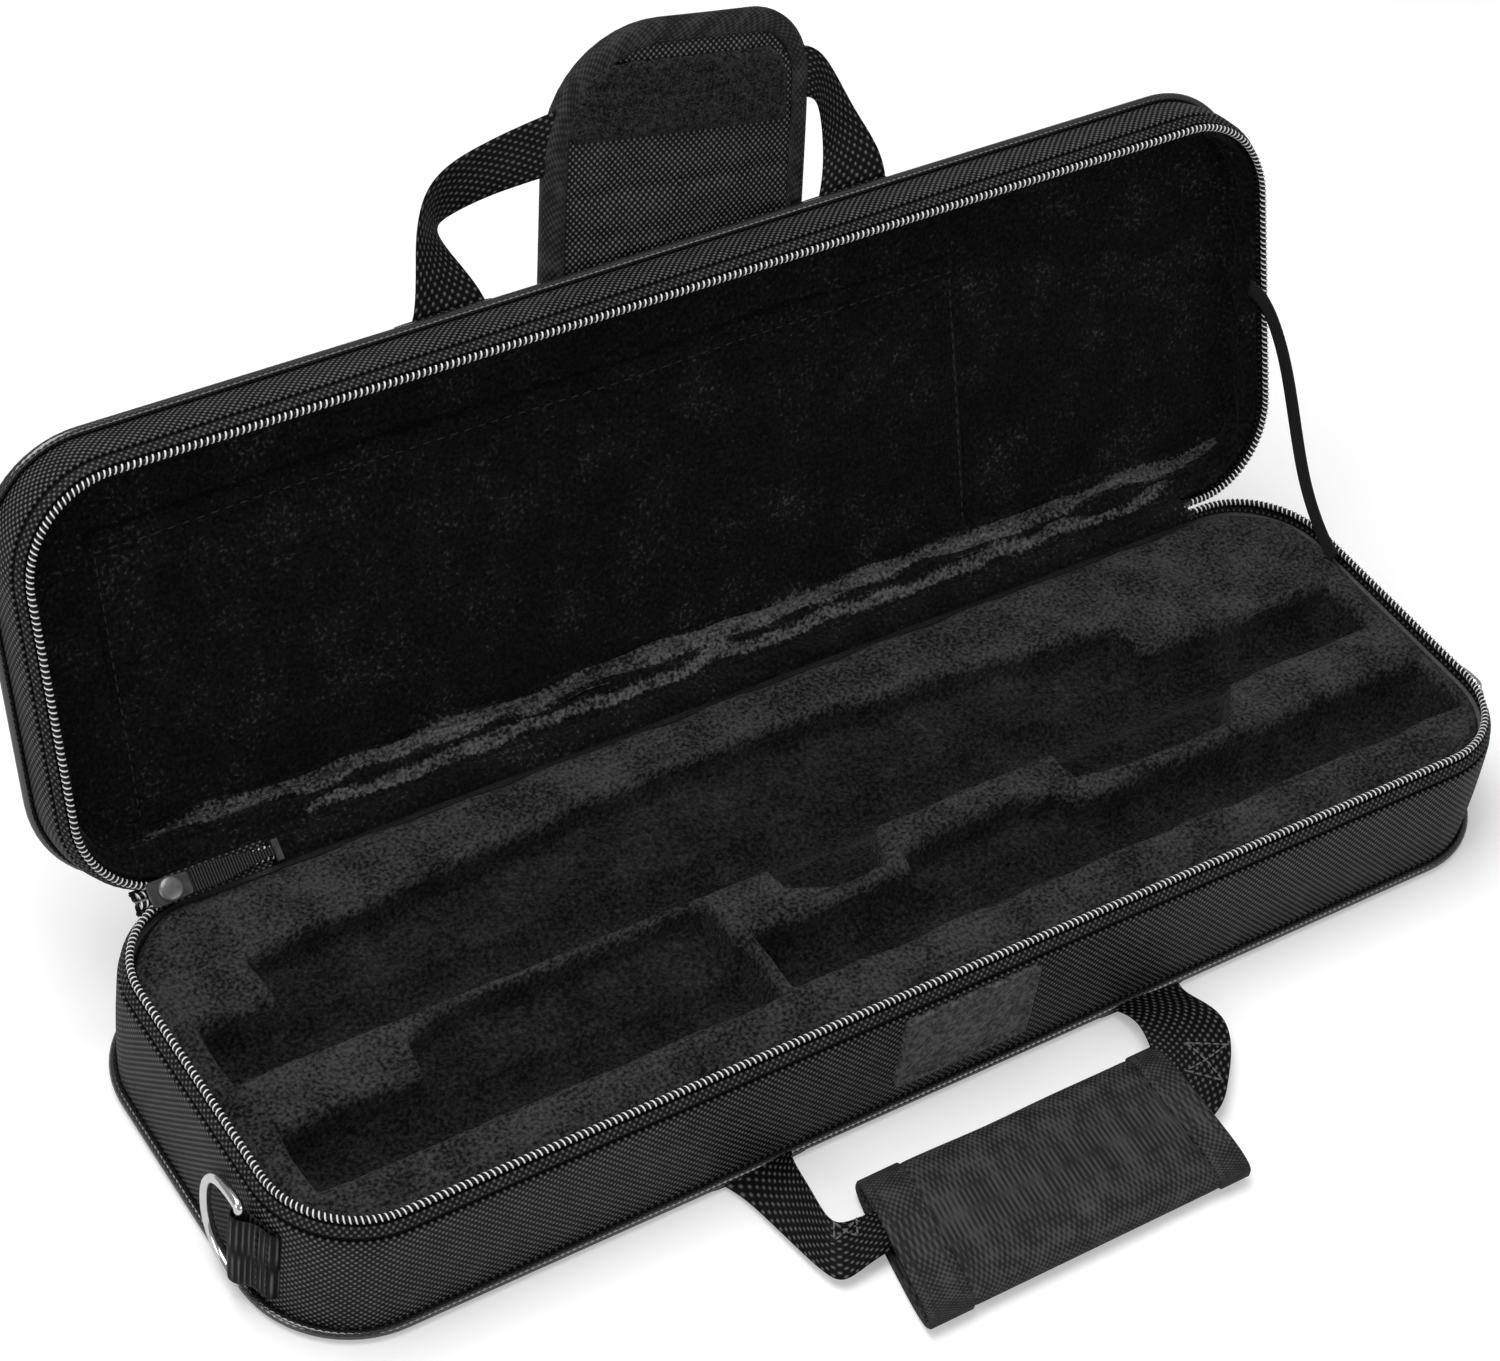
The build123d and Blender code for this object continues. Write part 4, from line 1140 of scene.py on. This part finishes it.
# ---- Hinge strip and stay -------------------------------------------------------------------
# Past the ends of the zip its two tapes are sewn to one folded strip of cover cloth, the hinge.
# A thin ribbon from the lid's right wall to the rim of the base keeps the lid from falling back.
strip_low, strip_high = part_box("hinge_strip")


def folded_strip(name, x, rows, foot, crown, head, crease, span, seed, width):
    """A strip of cloth across the hinge: a parabola from its foot to its head that is drawn
    towards its crown, with creases that fade to nothing at both edges."""
    across = np.linspace(0, 1, rows)[:, None]
    y, z = ((1 - across) ** 2 * a + 2 * across * (1 - across) * b + across ** 2 * c
            for a, b, c in zip(foot, crown, head))
    unrest = crease * drift(x, across * 0.01, span, seed) * np.sin(math.pi * across)
    grid = np.stack(np.broadcast_arrays(x, y - unrest, z + unrest), -1)
    return cloth(name, grid, (x, across * width), thick=0.0007)


foot, head = (wall_width - 0.0006, zip_z - 0.0068), on_lid(0, -0.0024 + 0.0006, 0.0068)[1:]
x = np.linspace(strip_low.x - 0.0015, strip_high.x + 0.0015, 150)[None, :]
strip = folded_strip("hinge_cloth", x, 25, foot, (hinge_at[1] - 0.0007, zip_z + 0.0002), head,
                     0.0003, 0.03, 51, 0.012)
finish(strip, nylon, None, "zip_tape", "hinge_strip")
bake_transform(strip)

# Inside, black plush bridges the insert and the lid's lining, and hides the hinge.
plush_left, plush_right = -0.148, 0.167
foot, head = (0.0583, 0.0424), on_lid(0, 0.0019, 0.0050)[1:]
x = np.linspace(plush_left, plush_right, 190)[None, :]
valley = folded_strip("hinge_plush", x, 17, foot, (0.0592, 0.0478), head, 0.0004, 0.022, 52, 0.01)
finish(valley, lid_plush, None, "lid_plush")
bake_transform(valley)

ribbon_cloth = woven("stay_ribbon", (0.006, 0.006, 0.0065), (0.04, 0.04, 0.042), 0.0009, 0.0005,
                     0.00012, uneven=0.1)
stay_low, stay_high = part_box("lid_stay")
stay_half = 0.0030
line = soft_line([(0, 86, 104), (0, 78, 104), (0, 66, 92), (0, 57, 77), (0, 48, 62), (0, 40, 53),
                  (0, 31, 46.5), (0, 24, 44)], 60)
way = np.gradient(line, axis=0)
way /= np.linalg.norm(way, axis=1, keepdims=True)
edges = [line + half * np.stack([0 * way[:, 0], way[:, 2], -way[:, 1]], 1)
         for half in (-stay_half, stay_half)]
for edge in edges:
    edge[:, 0] = (stay_low.x + stay_high.x) / 2 + 0.0012 * np.sin(np.linspace(0, math.pi, 60))
stay = webbing("stay_ribbon", *edges, 0.0006)
finish(stay, ribbon_cloth, None, "ribbon", "lid_stay")
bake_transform(stay)

# ---- Floor, light and camera ----------------------------------------------------------------
# A sheet of white paper under an even sky. Towards the camera both are brighter than the light
# that they give to the case.
floor_half = 4
floor_x, floor_y = np.meshgrid([-floor_half, floor_half], [-floor_half, floor_half], indexing="ij")
floor = cloth("floor", np.dstack([floor_x, floor_y, np.full((2, 2), -0.0003)]),
              (floor_x + floor_half, floor_y + floor_half))
paper = bpy.data.materials.new("studio_paper")
paper.use_nodes = True
paper.node_tree.nodes.clear()
add, link = workbench(paper.node_tree)
matt, glow = add("BsdfDiffuse", Color=(0.80, 0.80, 0.80, 1)), add("Emission")
both, lift = add("AddShader"), add("Math")
lift.operation = "MULTIPLY"
lift.inputs[1].default_value = 0.30
for start, end in ((add("LightPath").outputs["Is Camera Ray"], lift.inputs[0]),
                   (lift.outputs[0], glow.inputs["Strength"]), (matt.outputs[0], both.inputs[0]),
                   (glow.outputs[0], both.inputs[1]),
                   (both.outputs[0], add("OutputMaterial").inputs["Surface"])):
    link(start, end)
floor.data.materials.append(paper)

world = bpy.data.worlds.new("studio")
world.use_nodes = True
bpy.context.scene.world = world
sky = set_values(world.node_tree.nodes["Background"], {"Color": (1, 1, 1, 1)})
add, link = workbench(world.node_tree)
shine = add("Math")
shine.operation = "MULTIPLY_ADD"
shine.inputs[1].default_value, shine.inputs[2].default_value = 0.70, 0.30
link(add("LightPath").outputs["Is Camera Ray"], shine.inputs[0])
link(shine.outputs[0], sky.inputs["Strength"])


def softbox(name, at, aim, width, height, power):
    """A rectangular lamp at one point, facing another."""
    lamp = bpy.data.lights.new(name, "AREA")
    lamp.shape, lamp.size, lamp.size_y, lamp.energy = "RECTANGLE", width, height, power
    stand = bpy.data.objects.new(name, lamp)
    bpy.context.scene.collection.objects.link(stand)
    stand.location = at
    stand.rotation_euler = (Vector(aim) - Vector(at)).to_track_quat("-Z", "Y").to_euler()


softbox("key", (-0.35, 0.25, 1.55), (0, 0, 0.05), 1.3, 0.9, 20)
softbox("front", (0.5, -1.5, 0.7), (0, -0.05, 0.03), 1.4, 0.5, 6)
softbox("side", (-1.5, -0.3, 0.6), (-0.1, 0, 0.05), 0.8, 0.5, 5)

eye, yaw, pitch, roll, focal = (-0.4789, -0.5329, 0.7905), 0.686, 0.773, 0.160, 3725.5
ahead = Vector((math.sin(yaw) * math.cos(pitch), math.cos(yaw) * math.cos(pitch),
                -math.sin(pitch)))
level = Vector((math.cos(yaw), -math.sin(yaw), 0))
above = level.cross(ahead)
right = level * math.cos(roll) + above * math.sin(roll)
up = above * math.cos(roll) - level * math.sin(roll)
lens = bpy.data.cameras.new("camera")
lens.sensor_fit, lens.sensor_width, lens.lens = "HORIZONTAL", 36, 36 * focal / 1500
camera = bpy.data.objects.new("camera", lens)
bpy.context.scene.collection.objects.link(camera)
camera.matrix_world = Matrix.Translation(eye) @ Matrix((right, up, -ahead)).transposed().to_4x4()
bpy.context.scene.camera = camera
bpy.context.scene.view_settings.view_transform = "Standard"
